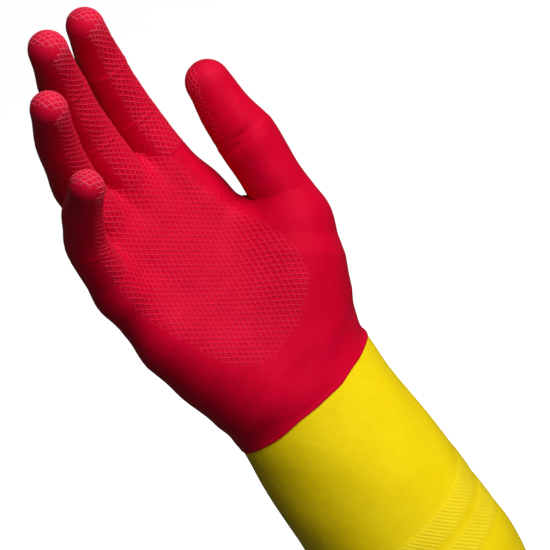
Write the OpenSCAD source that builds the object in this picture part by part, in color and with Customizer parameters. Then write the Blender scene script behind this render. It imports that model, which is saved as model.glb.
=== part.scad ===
// Household rubber glove for the right hand, in the shape it has when worn: a red hand dipped over
// a yellow cuff, with a flocked lining. Millimetres. The origin is the centre of the cuff's mouth,
// +Z runs up the arm to the fingers, the palm faces -Y and the thumb is on the +X side.
// The rubber is divided where a hand bends it: short flex zones join the stiffer stalls.

/* [Cuff] */
// Length of the yellow cuff, from its mouth to the dip line
cuff_len = 125; // [90:1:180]
// Radius inside the mouth of the cuff
mouth_r = 41.5; // [40:0.5:50]
// Height of the round hem at the mouth
hem_h = 15; // [10:1:25]
// Radius of the rolled bead round the mouth
bead_r = 1.6; // [1:0.1:2.5]
// Half width of the glove at the wrist
wrist_a = 35.5; // [34:0.5:37]
// Half thickness of the glove at the wrist
wrist_b = 25; // [24:0.5:27]
// Tilt of the dip line, which is higher on the thumb's side
dip_tilt = 8; // [0:1:10]
// Number of raised bands round the cuff
band_count = 2; // [1:1:3]
// Height of the first band above the mouth
band_z = 35; // [30:1:38]
// Distance from one band to the next
band_pitch = 19; // [12:1:20]
// Width of a band
band_w = 5.2; // [3:0.2:8]
// How far a band stands out of the cuff
band_h = 0.5; // [0.2:0.1:1]

/* [Walls] */
// Thickness of the rubber
rubber_t = 0.5; // [0.4:0.05:0.7]
// Thickness of the flock lining
flock_t = 0.3; // [0.2:0.05:0.4]

/* [Wrist] */
// Bend of the hand towards the palm, negative when it is bent back
wrist_bend = -11; // [-20:1:5]
// Lean of the hand towards the thumb, negative towards the little finger
wrist_lean = -6; // [-10:1:5]
// Half length of the flex zone at the wrist
wrist_flex = 9; // [8:0.5:10]

/* [Index finger] */
// Knuckle, measured from the bend of the wrist in the hand's own axes
index_knuckle = [24, 0, 83]; // [-40:0.5:90]
// Lengths from the knuckle to the middle joint, the end joint and the centre of the tip
index_len = [44, 27, 22]; // [20:0.5:55]
// Bends at the knuckle, the middle joint and the end joint
index_bend = [8, 20, 13]; // [0:1:40]
// Splay towards the thumb
index_splay = 1; // [-3:1:5]
// Turn about the finger's own length
index_turn = -1; // [-5:1:5]
// Radii at the knuckle, the middle joint, the end joint and the tip
index_r = [12, 10.7, 9.3, 8]; // [7:0.1:13]

/* [Middle finger] */
// Knuckle, measured from the bend of the wrist in the hand's own axes
middle_knuckle = [3.5, 2.5, 86]; // [-40:0.5:90]
// Lengths from the knuckle to the middle joint, the end joint and the centre of the tip
middle_len = [48, 30, 23]; // [20:0.5:55]
// Bends at the knuckle, the middle joint and the end joint
middle_bend = [19, 20, 12]; // [0:1:40]
// Splay towards the thumb
middle_splay = -2; // [-4:1:2]
// Turn about the finger's own length
middle_turn = -3; // [-5:1:5]
// Radii at the knuckle, the middle joint, the end joint and the tip
middle_r = [12, 11, 9.5, 8.1]; // [7:0.1:13]

/* [Ring finger] */
// Knuckle, measured from the bend of the wrist in the hand's own axes
ring_knuckle = [-16.5, 2, 81]; // [-40:0.5:90]
// Lengths from the knuckle to the middle joint, the end joint and the centre of the tip
ring_len = [45, 28, 23]; // [20:0.5:55]
// Bends at the knuckle, the middle joint and the end joint
ring_bend = [24, 25, 12]; // [0:1:40]
// Splay towards the thumb
ring_splay = -4; // [-6:1:-2]
// Turn about the finger's own length
ring_turn = -2; // [-5:1:5]
// Radii at the knuckle, the middle joint, the end joint and the tip
ring_r = [11.5, 10.3, 9, 7.8]; // [7:0.1:13]

/* [Little finger] */
// Knuckle, measured from the bend of the wrist in the hand's own axes
little_knuckle = [-35.5, -3.5, 72]; // [-40:0.5:90]
// Lengths from the knuckle to the middle joint, the end joint and the centre of the tip
little_len = [36, 21, 21]; // [20:0.5:55]
// Bends at the knuckle, the middle joint and the end joint
little_bend = [34, 27, 11]; // [0:1:40]
// Splay towards the thumb
little_splay = -9; // [-12:1:-6]
// Turn about the finger's own length
little_turn = 6; // [3:1:9]
// Radii at the knuckle, the middle joint, the end joint and the tip
little_r = [10.5, 9.3, 8.3, 7.3]; // [7:0.1:12]

/* [Thumb] */
// Knuckle, measured from the bend of the wrist in the hand's own axes
thumb_knuckle = [44, -15.5, 49]; // [-40:0.5:90]
// Lengths from the knuckle to the end joint and the centre of the tip
thumb_len = [40, 27]; // [25:0.5:45]
// Bends at the knuckle and the end joint
thumb_bend = [8, 2]; // [0:1:30]
// Splay away from the fingers
thumb_splay = 14; // [8:1:20]
// Turn about the thumb's own length, so that its pad faces the fingers
thumb_turn = -50; // [-70:1:-30]
// Radii at the knuckle, the end joint and the tip
thumb_r = [14.4, 13, 10.4]; // [9:0.1:16]

/* [Flex zones] */
// Half length of a flex zone in a finger
finger_flex = 3.2; // [2.8:0.1:3.6]
// Half length of a flex zone in the thumb
thumb_flex = 4.4; // [4:0.1:5]
// Share of the radius by which a bend's axis lies towards the palm
axis_shift = 0.7; // [0.5:0.05:0.8]

/* [Resolution] */
// Sides of a finger
finger_sides = 14; // [12:2:20]
// Sides of the palm and the cuff
palm_sides = 28; // [24:4:40]

/* [Hidden] */
wall_t = rubber_t + flock_t;
wrist_z = cuff_len + wrist_flex;
// How far a cutting form runs past the open end that it cuts
over = 0.5;
// Gap between a finger's root and its flex zone, and the room that the palm leaves round the finger above
seam = 0.03;
finger_room = 1.2;
// How far the sides of a phalanx draw in between its joints, as a share of the radius
waist = 0.035;
// Half width of a finger as a share of its half thickness, since its neighbours press it
finger_flat = 0.97;
// Angles of the rings on a rounded tip, from its widest ring to near its end
dome = [0, 28, 54, 76];
// Rings of the cuff between its hem and the wrist
cuff_rings = 2;
// Length over which the side of a band slopes
band_edge = 0.4;

red = [0.78, 0.02, 0.10];
yellow = [0.93, 0.82, 0.07];
cream = [0.93, 0.88, 0.70];

// A finger is [knuckle, lengths, bends, splay, turn, radii, height of its crotch, half flex zone]
KNUCKLE = 0;
LENGTHS = 1;
BENDS = 2;
SPLAY = 3;
TURN = 4;
RADII = 5;
CROTCH = 6;
FLEX = 7;
index = [index_knuckle, index_len, index_bend, index_splay, index_turn, index_r, 28, finger_flex];
middle = [middle_knuckle, middle_len, middle_bend, middle_splay, middle_turn, middle_r, 29, finger_flex];
ring = [ring_knuckle, ring_len, ring_bend, ring_splay, ring_turn, ring_r, 27, finger_flex];
little = [little_knuckle, little_len, little_bend, little_splay, little_turn, little_r, 20, finger_flex];
thumb = [thumb_knuckle, thumb_len, thumb_bend, thumb_splay, thumb_turn, thumb_r, 9, thumb_flex];
FINGERS = [index, middle, ring, little];

// How far the palm's start lies to the little finger's side, and how much wider it is than the wrist
palm_shift = -1.5;
palm_wider = 3;
// Balls that the palm is stretched over, in the hand's own axes: [centre, radius]
heel_ball = [[-29.5, -2, 31.5], 20];
thenar_ball = [[33, -9, 30], 18.5];
thumb_web = [[25, -3, 62], 13.5];
// How far the balls over the knuckles stand out from the fingers
ball_over = 0.8;
// How far the webs between the fingers lie below the crotches, and inside the fingers' radius
web_drop = 5;
web_in = 1;
// Sides of the balls, and the thickness of the thin slices that a form is stretched from
ball_sides = 12;
slice_t = 0.2;

// A vector turned about one of the axes, in degrees
function turn_x(v, t) = [v.x, v.y * cos(t) - v.z * sin(t), v.y * sin(t) + v.z * cos(t)];
function turn_y(v, t) = [v.x * cos(t) + v.z * sin(t), v.y, v.z * cos(t) - v.x * sin(t)];
function turn_z(v, t) = [v.x * cos(t) - v.y * sin(t), v.x * sin(t) + v.y * cos(t), v.z];

// A direction of the hand's own axes in the glove's frame, at a share of the wrist's bend, and a point
function hand_dir(v, share = 1) = turn_y(turn_x(v, share * wrist_bend), share * wrist_lean);
function hand_point(p) = [0, 0, wrist_z] + hand_dir(p);

// A direction of a finger's own axes, which are x across it, y to its back and z along it, bent by t
function finger_dir(f, v, t) = hand_dir(turn_y(turn_z(turn_x(v, t), f[TURN]), f[SPLAY]));
function sum_to(list, k) = k < 0 ? 0 : list[k] + sum_to(list, k - 1);
// Angle of phalanx k from the palm
function lean(f, k) = sum_to(f[BENDS], k);
function across(f) = finger_dir(f, [1, 0, 0], 0);
function along(f, k) = finger_dir(f, [0, 0, 1], lean(f, k));
function backward(f, t) = finger_dir(f, [0, 1, 0], t);
// Joint k of a finger: 0 is the knuckle, and the last is the centre of the tip
function joint(f, k) =
    k == 0 ? hand_point(f[KNUCKLE]) : joint(f, k - 1) + f[LENGTHS][k - 1] * along(f, k - 1);
function last_phalanx(f) = len(f[LENGTHS]) - 1;

// A station is [centre, axis across, axis to the back, half width, half thickness]
function round_station(centre, x, y, r) = [centre, x, y, r * finger_flat, r];
// Radius of phalanx k at distance u from its joint: a straight taper, drawn in between the joints
function phalanx_r(f, k, u) =
    let (share = u / f[LENGTHS][k], r0 = f[RADII][k], r1 = f[RADII][k + 1])
    (r0 + (r1 - r0) * share) * (1 - waist * sin(180 * share));
// Station on phalanx k at distance u from its joint
function on_phalanx(f, k, u) =
    round_station(joint(f, k) + u * along(f, k), across(f), backward(f, lean(f, k)), phalanx_r(f, k, u));
// Station in the middle of the bend at joint k, on the arc that rounds the corner
function on_bend(f, k) =
    let (half = f[BENDS][k] / 2, back = backward(f, lean(f, k) - half))
    round_station(joint(f, k) - back * f[FLEX] * tan(half / 2), across(f), back, f[RADII][k]);

// Stations of a finger's pieces: the flex zone at its root, that at joint k, stall k and the tip
function root_stations(f) = [for (u = [seam, f[FLEX], 2 * f[FLEX]]) on_phalanx(f, 0, f[CROTCH] + u)];
function bend_stations(f, k) =
    [on_phalanx(f, k - 1, f[LENGTHS][k - 1] - f[FLEX]), on_bend(f, k), on_phalanx(f, k, f[FLEX])];
function stall_stations(f, k) =
    let (low = k == 0 ? f[CROTCH] + 2 * f[FLEX] : f[FLEX], high = f[LENGTHS][k] - f[FLEX])
    [for (share = [0, 0.5, 1]) on_phalanx(f, k, low + share * (high - low))];
function tip_stations(f) =
    let (k = last_phalanx(f), end = on_phalanx(f, k, f[LENGTHS][k]), r = f[RADII][k + 1])
    concat(
        [on_phalanx(f, k, f[FLEX]), on_phalanx(f, k, (f[FLEX] + f[LENGTHS][k]) / 2)],
        [for (t = dome) round_station(end[0] + r * sin(t) * along(f, k), end[1], end[2], r * cos(t))]
    );
// Oval where the palm meets the flex zone of the wrist
function palm_start() =
    let (centre = hand_point([palm_shift, 0, wrist_flex]))
    [centre, hand_dir([1, 0, 0]), hand_dir([0, 1, 0]), wrist_a + palm_wider, wrist_b];
// Cuff from its round, level hem to the oval wrist at the tilted dip line
function cuff_station(z) =
    let (share = (z - hem_h) / (cuff_len - hem_h), r = mouth_r + wall_t)
    [
        [0, 0, z], turn_y([1, 0, 0], -dip_tilt * share), [0, 1, 0],
        r + (wrist_a - r) * share, r + (wrist_b - r) * share
    ];
function cuff_stations() =
    [for (i = [0:cuff_rings]) cuff_station(hem_h + i / cuff_rings * (cuff_len - hem_h))];
function wrist_middle() =
    let (half_x = hand_dir([1, 0, 0], 0.5), half_y = hand_dir([0, 1, 0], 0.5))
    [[palm_shift / 2, 0, wrist_z], half_x, half_y, wrist_a + palm_wider / 2, wrist_b];
function wrist_stations() = [cuff_stations()[cuff_rings], wrist_middle(), palm_start()];

// Ring of points round a station, drawn in by inset
function ring_points(s, inset, sides) = [
    for (i = [0:sides - 1]) let (t = 360 * i / sides)
        s[0] + (s[3] - inset) * cos(t) * s[1] + (s[4] - inset) * sin(t) * s[2]
];
function rings_of(stations, inset, sides) = [for (s = stations) ring_points(s, inset, sides)];
// Rings over a raised band of the cuff, whose middle is at height z: [run from its lower edge, rise]
function band_rings(z) = [
    for (step = [[-band_edge, 0], [0, band_h], [band_w, band_h], [band_w + band_edge, 0]])
        ring_points(cuff_station(z - band_w / 2 + step[0]), -step[1], palm_sides)
];
// Rings of the cuff's outside, from its hem over the bands to the dip line
function sleeve_rings() = [
    ring_points(cuff_station(hem_h), 0, palm_sides),
    for (i = [0:band_count - 1]) each band_rings(band_z + i * band_pitch),
    ring_points(cuff_station(cuff_len), 0, palm_sides)
];
// Rings of a closed tip: its dome shrinks about the centre of the tip, so that its wall is even
function tip_rings(f, inset) =
    let (
        stations = tip_stations(f),
        first_dome = len(stations) - len(dome),
        centre = stations[first_dome][0],
        r = stations[first_dome][4]
    )
    [
        for (i = [0:len(stations) - 1]) i < first_dome
            ? ring_points(stations[i], inset, finger_sides)
            : [for (p = ring_points(stations[i], 0, finger_sides)) centre + (p - centre) * (r - inset) / r]
    ];

// Triangles of the band from ring i to ring j, split the same way whether they face out or in, so that
// two layers meet without a gap, and a flat end at ring i
function band(i, j, sides, inward = false) = [
    for (k = [0:sides - 1]) let (n = (k + 1) % sides)
        each inward
            ? [[i * sides + k, j * sides + n, j * sides + k], [i * sides + k, i * sides + n, j * sides + n]]
            : [[i * sides + k, j * sides + k, j * sides + n], [i * sides + k, j * sides + n, i * sides + n]]
];
function flat_end(i, sides, upward) = [[for (k = [0:sides - 1]) i * sides + (upward ? sides - 1 - k : k)]];

// Wall between outer and inner rings, open at its start, and at its end unless that is closed
module wall(outer, inner, closed = false) {
    sides = len(outer[0]);
    last = len(outer) - 1;
    within = len(outer);
    deepest = within + len(inner) - 1;
    polyhedron(
        points = [for (r = concat(outer, inner)) each r],
        faces = concat(
            [for (i = [0:last - 1]) each band(i, i + 1, sides)],
            [for (i = [within:deepest - 1]) each band(i, i + 1, sides, true)],
            band(within, 0, sides),
            closed
                ? concat(flat_end(last, sides, true), flat_end(deepest, sides, false))
                : band(last, deepest, sides)
        )
    );
}

// Layer of a length of the glove between two depths below its skin
module layer(stations, from, to, sides) {
    wall(rings_of(stations, from, sides), rings_of(stations, to, sides));
}

// Ball at a point of the hand, drawn in by inset
module hand_ball(ball, inset) {
    translate(hand_point(ball[0])) sphere(r = ball[1] - inset, $fn = ball_sides);
}

// Ball over the knuckle of a finger
function knuckle_ball(f) = [f[KNUCKLE], f[RADII][0] + ball_over];

// Slice through a station, drawn in by inset, from one height to another along a direction
module slice(s, direction, from, to, inset, sides) {
    place = s[0] + from * direction;
    x = (s[3] - inset) * s[1];
    y = (s[4] - inset) * s[2];
    z = (to - from) * direction;
    multmatrix([for (i = [0, 1, 2]) [x[i], y[i], z[i], place[i]]]) cylinder(r = 1, h = 1, $fn = sides);
}

// Root of a finger, from its knuckle to its crotch; run is how far its open end is lengthened
module finger_root(f, inset, run) {
    hull() {
        hand_ball([f[KNUCKLE], f[RADII][0]], inset);
        slice(on_phalanx(f, 0, f[CROTCH]), along(f, 0), -slice_t, run, inset, finger_sides);
    }
}

// Web between two neighbouring fingers
module web(f, g, inset) {
    hull() {
        for (q = [f, g]) {
            hand_ball([q[KNUCKLE], q[RADII][0]], inset);
            top = on_phalanx(q, 0, q[CROTCH] - web_drop - inset);
            slice(top, along(q, 0), -slice_t, 0, inset + web_in, finger_sides);
        }
    }
}

// Slice at the palm's start, from which its forms are stretched; run is how far the open end is lengthened
module palm_base(inset, run) {
    slice(palm_start(), hand_dir([0, 0, 1]), -run, slice_t, inset, palm_sides);
}

// Heel of the hand, on the little finger's side
module heel(inset, run) {
    hull() {
        palm_base(inset, run);
        hand_ball(heel_ball, inset);
        hand_ball(knuckle_ball(little), inset);
    }
}

// Ball of the thumb, with the web that joins it to the index finger
module thenar(inset, run) {
    thumb_ball = [thumb_knuckle, thumb_r[0]];
    hull() {
        palm_base(inset, run);
        hand_ball(thenar_ball, inset);
        hand_ball(thumb_ball, inset);
    }
    hull() {
        hand_ball(thenar_ball, inset);
        hand_ball(thumb_ball, inset);
        hand_ball(thumb_web, inset);
    }
}

// Whole form of the palm with the roots of the fingers, drawn in by inset; run lengthens its open ends
module palm_form(inset, run) {
    for (i = [0:2]) {
        hull() {
            palm_base(inset, run);
            hand_ball(knuckle_ball(FINGERS[i]), inset);
            hand_ball(knuckle_ball(FINGERS[i + 1]), inset);
        }
        web(FINGERS[i], FINGERS[i + 1], inset);
    }
    for (f = concat(FINGERS, [thumb])) {
        finger_root(f, inset, run);
    }
    heel(inset, run);
    thenar(inset, run);
}

// Room round a finger from its flex zone to its middle joint, which the palm leaves free
module room(f) {
    start = on_phalanx(f, 0, f[CROTCH] + seam);
    slice(start, along(f, 0), 0, f[LENGTHS][0] - f[CROTCH], -finger_room, finger_sides);
}

// Layer of the palm between two depths below its skin
module palm_layer(from, to) {
    difference() {
        palm_form(from, 0);
        palm_form(to, over);
        room(little);
        room(thumb);
    }
}

module cuff_hem() {
    color(yellow) rotate_extrude($fn = 96) {
        translate([mouth_r, 0]) square([wall_t, hem_h]);
        translate([mouth_r + bead_r, bead_r]) circle(r = bead_r, $fn = 32);
    }
}

module cuff_sleeve() {
    color(yellow) wall(sleeve_rings(), rings_of(cuff_stations(), rubber_t, palm_sides));
}

module cuff_lining() {
    color(cream) layer(cuff_stations(), rubber_t, wall_t, palm_sides);
}

module wrist_flex_zone() {
    color(red) layer(wrist_stations(), 0, wall_t, palm_sides);
}

module palm_rubber() {
    color(red) palm_layer(0, rubber_t);
}

module palm_lining() {
    color(cream) palm_layer(rubber_t, wall_t);
}

// Flex zones of a finger, at its root and at joint k
module root_flex(f) {
    color(red) layer(root_stations(f), 0, wall_t, finger_sides);
}

module bend_flex(f, k) {
    color(red) layer(bend_stations(f, k), 0, wall_t, finger_sides);
}

// Rubber and lining of stall k of a finger
module stall(f, k) {
    color(red) layer(stall_stations(f, k), 0, rubber_t, finger_sides);
}

module stall_lining(f, k) {
    color(cream) layer(stall_stations(f, k), rubber_t, wall_t, finger_sides);
}

// Rubber and lining of the closed tip of a finger
module tip(f) {
    color(red) wall(tip_rings(f, 0), tip_rings(f, rubber_t), true);
}

module tip_lining(f) {
    color(cream) wall(tip_rings(f, rubber_t), tip_rings(f, wall_t), true);
}

// Axes of the bends, as a point and a direction: at a finger's root and at its joint k
function root_axis(f) =
    let (s = root_stations(f)[1])
    [s[0] - axis_shift * s[4] * s[2], s[1]];
function bend_axis(f, k) =
    let (s = on_bend(f, k))
    [s[0] - axis_shift * s[4] * s[2], s[1]];
for (f = FINGERS) {
    echo(root = root_axis(f), middle = bend_axis(f, 1), end = bend_axis(f, 2));
}
echo(thumb_root = root_axis(thumb), thumb_end = bend_axis(thumb, 1));

cuff_hem();
cuff_sleeve();
cuff_lining();
wrist_flex_zone();
palm_rubber();
palm_lining();
root_flex(thumb);  // thumb_root_flex
stall(thumb, 0);  // thumb_base
stall_lining(thumb, 0);  // thumb_base_lining
bend_flex(thumb, 1);  // thumb_tip_flex
tip(thumb);  // thumb_tip
tip_lining(thumb);  // thumb_tip_lining
root_flex(index);  // index_root_flex
stall(index, 0);  // index_base
stall_lining(index, 0);  // index_base_lining
bend_flex(index, 1);  // index_middle_flex
stall(index, 1);  // index_middle
stall_lining(index, 1);  // index_middle_lining
bend_flex(index, 2);  // index_tip_flex
tip(index);  // index_tip
tip_lining(index);  // index_tip_lining
root_flex(middle);  // middle_root_flex
stall(middle, 0);  // middle_base
stall_lining(middle, 0);  // middle_base_lining
bend_flex(middle, 1);  // middle_middle_flex
stall(middle, 1);  // middle_middle
stall_lining(middle, 1);  // middle_middle_lining
bend_flex(middle, 2);  // middle_tip_flex
tip(middle);  // middle_tip
tip_lining(middle);  // middle_tip_lining
root_flex(ring);  // ring_root_flex
stall(ring, 0);  // ring_base
stall_lining(ring, 0);  // ring_base_lining
bend_flex(ring, 1);  // ring_middle_flex
stall(ring, 1);  // ring_middle
stall_lining(ring, 1);  // ring_middle_lining
bend_flex(ring, 2);  // ring_tip_flex
tip(ring);  // ring_tip
tip_lining(ring);  // ring_tip_lining
root_flex(little);  // little_root_flex
stall(little, 0);  // little_base
stall_lining(little, 0);  // little_base_lining
bend_flex(little, 1);  // little_middle_flex
stall(little, 1);  // little_middle
stall_lining(little, 1);  // little_middle_lining
bend_flex(little, 2);  // little_tip_flex
tip(little);  // little_tip
tip_lining(little);  // little_tip_lining
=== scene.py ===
"""Household rubber glove: its skin, lining, grip and cuff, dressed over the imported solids."""

import logging
import math
from abc import ABC, abstractmethod
from dataclasses import dataclass, field
from enum import Enum

import bpy
import numpy as np
from mathutils import Matrix, Vector


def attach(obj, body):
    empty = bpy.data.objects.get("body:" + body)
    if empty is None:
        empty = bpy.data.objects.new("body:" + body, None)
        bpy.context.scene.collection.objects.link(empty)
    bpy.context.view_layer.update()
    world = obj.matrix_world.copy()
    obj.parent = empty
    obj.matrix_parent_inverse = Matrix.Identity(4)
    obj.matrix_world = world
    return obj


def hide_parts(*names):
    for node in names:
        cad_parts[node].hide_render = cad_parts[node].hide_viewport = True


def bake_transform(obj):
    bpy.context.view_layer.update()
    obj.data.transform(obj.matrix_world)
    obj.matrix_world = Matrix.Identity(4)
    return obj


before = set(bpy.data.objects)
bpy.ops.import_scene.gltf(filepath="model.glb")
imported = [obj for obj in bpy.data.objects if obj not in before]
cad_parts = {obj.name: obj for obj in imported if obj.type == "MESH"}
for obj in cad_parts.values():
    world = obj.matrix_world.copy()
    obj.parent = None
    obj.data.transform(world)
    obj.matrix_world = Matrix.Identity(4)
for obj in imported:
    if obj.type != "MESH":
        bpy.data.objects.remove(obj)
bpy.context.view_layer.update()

LOG = logging.getLogger("glove")
Array = np.ndarray
Triple = tuple[float, float, float]
# A millimetre in the frame's metres
MM = 0.001
# Point that the wrist bends about, and the hand's bend and lean there in degrees
WRIST = np.array([0.0, 0.0, 134.0])
WRIST_BEND, WRIST_LEAN = -11.0, -6.0
# Height of the line where the red dip ends, and its tilt in degrees
DIP_Z, DIP_TILT = 125.0, 8.0
# Rubber and flock together
WALL = 0.8
# Distance that stands for no form near by
NOWHERE = 99.0
# How far below a finger's crotch the palm's grip ends and the finger's begins
GRIP_TURN = 5.0


class Slot(Enum):
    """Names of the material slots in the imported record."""

    RED = "red_rubber"
    YELLOW = "yellow_rubber"


def rot(axis: str, degrees: float) -> Array:
    """Rotation matrix, 3 by 3, about the axis x, y or z by the right hand."""
    return np.array(Matrix.Rotation(math.radians(degrees), 3, axis.upper()))


# The hand's own axes in the glove's frame: x to the thumb's side, y to the back, z along
HAND = rot("y", WRIST_LEAN) @ rot("x", WRIST_BEND)


def hand_point(p: Array) -> Array:
    """Points of the hand's own axes, in the glove's frame."""
    return WRIST + np.asarray(p, float) @ HAND.T


def to_hand(p: Array) -> Array:
    """Points of the glove's frame, in the hand's own axes."""
    return (np.asarray(p, float) - WRIST) @ HAND


def unit(v: Array) -> Array:
    """Vectors along the last axis, made one long."""
    return v / np.maximum(np.linalg.norm(v, axis=-1, keepdims=True), 1e-12)


def ease(t: Array) -> Array:
    """Smooth step from 0 to 1: 3t^2 - 2t^3 of t held to that range."""
    t = np.clip(t, 0.0, 1.0)
    return t * t * (3.0 - 2.0 * t)


def bump(x: Array, width: float) -> Array:
    """Bell curve, e to the minus (x / width)^2."""
    return np.exp(-np.square(x / width))


def melt(a: Array, b: Array, k: float) -> Array:
    """Smooth smaller of two distances: the smaller, less (k - |a - b|)^2 / 4k where they are within k."""
    h = np.maximum(k - np.abs(a - b), 0.0)
    return np.minimum(a, b) - h * h / (4.0 * k)


def ring_angles(count: int) -> Array:
    """Angles of evenly spaced points round a ring."""
    return 2 * np.pi * np.arange(count) / count


@dataclass(frozen=True)
class Rod:
    """Rod with round ends, whose radius runs evenly from one end to the other."""

    a: Triple
    b: Triple
    radius_a: float
    radius_b: float

    def distance(self, p: Array) -> Array:
        """Distance from the rod: that from its line, less the radius at the nearest place on it.

        Args:
            p: Points, n by 3.

        Returns:
            Distances, less than 0 inside.
        """
        a, line = np.array(self.a), np.subtract(self.b, self.a)
        t = np.clip((p - a) @ line / (line @ line), 0.0, 1.0)
        radius = self.radius_a + (self.radius_b - self.radius_a) * t
        return np.linalg.norm(p - a - t[:, None] * line, axis=1) - radius


class Socket:
    """A shader output that adds, subtracts and multiplies with sockets and numbers."""

    def __init__(self, tree: "Shader", out: bpy.types.NodeSocket) -> None:
        """Keeps the shader and the output."""
        self.tree, self.out = tree, out

    def _math(self, op: str, a: object, b: object) -> "Socket":
        """One Math node of two values."""
        return self.tree.add("ShaderNodeMath", {0: a, 1: b}, operation=op)

    def __add__(self, other: object) -> "Socket":
        """Sum."""
        return self._math("ADD", self, other)

    def __sub__(self, other: object) -> "Socket":
        """Difference."""
        return self._math("SUBTRACT", self, other)

    def __rsub__(self, other: object) -> "Socket":
        """Difference from a number."""
        return self._math("SUBTRACT", other, self)

    def __mul__(self, other: object) -> "Socket":
        """Product."""
        return self._math("MULTIPLY", self, other)

    __radd__, __rmul__ = __add__, __mul__

    def clamp(self, low: float = 0.0, high: float = 1.0) -> "Socket":
        """Value held between two limits."""
        return self._math("MINIMUM", self._math("MAXIMUM", self, low), high)


class Shader:
    """Node tree of one material."""

    def __init__(self, name: str) -> None:
        """Makes a material of a Principled shader on its output.

        Args:
            name: Name of the material.
        """
        self.material = bpy.data.materials.new(name)
        self.material.use_nodes = True
        self.nodes, self.links = self.material.node_tree.nodes, self.material.node_tree.links
        self.nodes.clear()
        self.shader = self._node("ShaderNodeBsdfPrincipled", {})
        self._node("ShaderNodeOutputMaterial", {0: Socket(self, self.shader.outputs[0])})

    def _feed(self, node: bpy.types.Node, inputs: dict[str | int, object]) -> None:
        """Links or sets the inputs of a node.

        Args:
            node: Node to feed.
            inputs: Values or sockets by input name or number.
        """
        for key, value in inputs.items():
            if isinstance(value, Socket):
                self.links.new(value.out, node.inputs[key])
            else:
                node.inputs[key].default_value = value

    def _node(self, kind: str, inputs: dict[str | int, object], **settings: object) -> bpy.types.Node:
        """Adds a node of any type.

        Args:
            kind: Blender's node type.
            inputs: Values or sockets by input name or number.
            settings: Properties of the node, set first.

        Returns:
            The node.
        """
        node = self.nodes.new(kind)
        for key, value in settings.items():
            setattr(node, key, value)
        self._feed(node, inputs)
        return node

    def add(
            self, kind: str, inputs: dict[str | int, object] | None = None, output: str | int = 0,
            **settings: object) -> Socket:
        """Adds a node of any type for one of its outputs.

        Args:
            kind: Blender's node type.
            inputs: Values or sockets by input name or number.
            output: Output wanted, by name or number.
            settings: Properties of the node.

        Returns:
            The output as a socket.
        """
        return Socket(self, self._node(kind, inputs or {}, **settings).outputs[output])

    def value(self, name: str) -> Socket:
        """A named point value of the mesh."""
        return self.add("ShaderNodeAttribute", output="Fac", attribute_name=name)

    def noise(self, scale: float, detail: float) -> Socket:
        """Cloudy noise of about 0 to 1 on the object's own place, at so many lumps a metre."""
        place = self.add("ShaderNodeTexCoord", output="Object")
        return self.add("ShaderNodeTexNoise", {"Vector": place, "Scale": scale, "Detail": detail}, "Fac")

    def mix(self, share: Socket, a: object, b: object) -> Socket:
        """Colour between two colours, each a socket or a plain colour of three parts."""
        first, second = (c if isinstance(c, Socket) else (*c, 1.0) for c in (a, b))
        return self.add("ShaderNodeMix", {0: share, 6: first, 7: second}, 2, data_type="RGBA")

    def bump(self, height: Socket, depth: float, normal: Socket | None = None) -> Socket:
        """Bump of the surface.

        Args:
            height: Height from 0 to 1.
            depth: What 1 stands for, in metres.
            normal: Bump that this one lies on, if any.

        Returns:
            The bumped normal.
        """
        inputs = {"Height": height, "Distance": depth, "Strength": 1.0}
        if normal:
            inputs["Normal"] = normal
        return self.add("ShaderNodeBump", inputs, "Normal")

    def finish(self, **inputs: object) -> bpy.types.Material:
        """Feeds the Principled shader, with spaces in its input names as underscores."""
        self._feed(self.shader, {key.replace("_", " "): value for key, value in inputs.items()})
        return self.material


@dataclass(frozen=True)
class RubberFinish:
    """Dipped rubber: a satin skin with faint clouds, pores, and paler places that the mesh marks: painted
    sheen on the tips and painted highlights on raised ridges and ribs, at the tips partly stretched rubber.
    """

    name: str
    deep: Triple
    light: Triple
    # Colour of the paler places: painted sheen on the tips and painted highlights on ridges and ribs, at the
    # tips partly stretched rubber
    pale: Triple
    tint: Triple
    roughness: float = 0.50
    gloss: float = 0.20
    # Depth of the pores and of the skin's unevenness, in metres
    pores: float = 0.00006
    uneven: float = 0.00022

    def make(self) -> bpy.types.Material:
        """Colour clouds of 14 mm and 3 mm between deep and light, then pale where the mesh says so.

        Returns:
            The material.
        """
        s = Shader(self.name)
        clouds = (s.noise(70.0, 3.0) * 0.65 + s.noise(330.0, 2.0) * 0.35 - 0.3) * 2.4
        # Paler where the mesh's pale value says: painted sheen on the tips, painted highlights on the grip's
        # ridges and the cuff's ribs
        pale_and_sheen = s.value("pale") * (s.noise(500.0, 3.0) * 0.7 + 0.65)
        colour = s.mix(pale_and_sheen.clamp(), s.mix(clouds.clamp(), self.deep, self.light), self.pale)
        rough = (s.noise(260.0, 3.0) - 0.5) * 0.16 + s.noise(2400.0, 1.0) * 0.08 + (self.roughness - 0.04)
        pores = s.bump(s.noise(2600.0, 2.0), self.pores)
        skin = s.bump(s.noise(210.0, 2.0), self.uneven, pores)
        return s.finish(
            Base_Color=colour, Roughness=rough, Normal=skin,
            Specular_IOR_Level=self.gloss, Specular_Tint=(*self.tint, 1.0))


@dataclass(frozen=True)
class FlockFinish:
    """Cotton flock: short cream fibres with a soft sheen."""

    name: str = "flock"
    low: Triple = (0.62, 0.53, 0.33)
    high: Triple = (0.86, 0.80, 0.62)
    nap: float = 0.0002

    def make(self) -> bpy.types.Material:
        """Fine fibre noise over soft clouds.

        Returns:
            The material.
        """
        s = Shader(self.name)
        fibres = s.noise(3800.0, 3.0)
        share = (fibres * 0.6 + s.noise(140.0, 2.0) * 0.4 - 0.25) * 2.0
        return s.finish(
            Base_Color=s.mix(share.clamp(), self.low, self.high), Roughness=fibres * 0.1 + 0.85,
            Normal=s.bump(fibres, self.nap), Sheen_Weight=0.35, Sheen_Roughness=0.5, Specular_IOR_Level=0.15)


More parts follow.
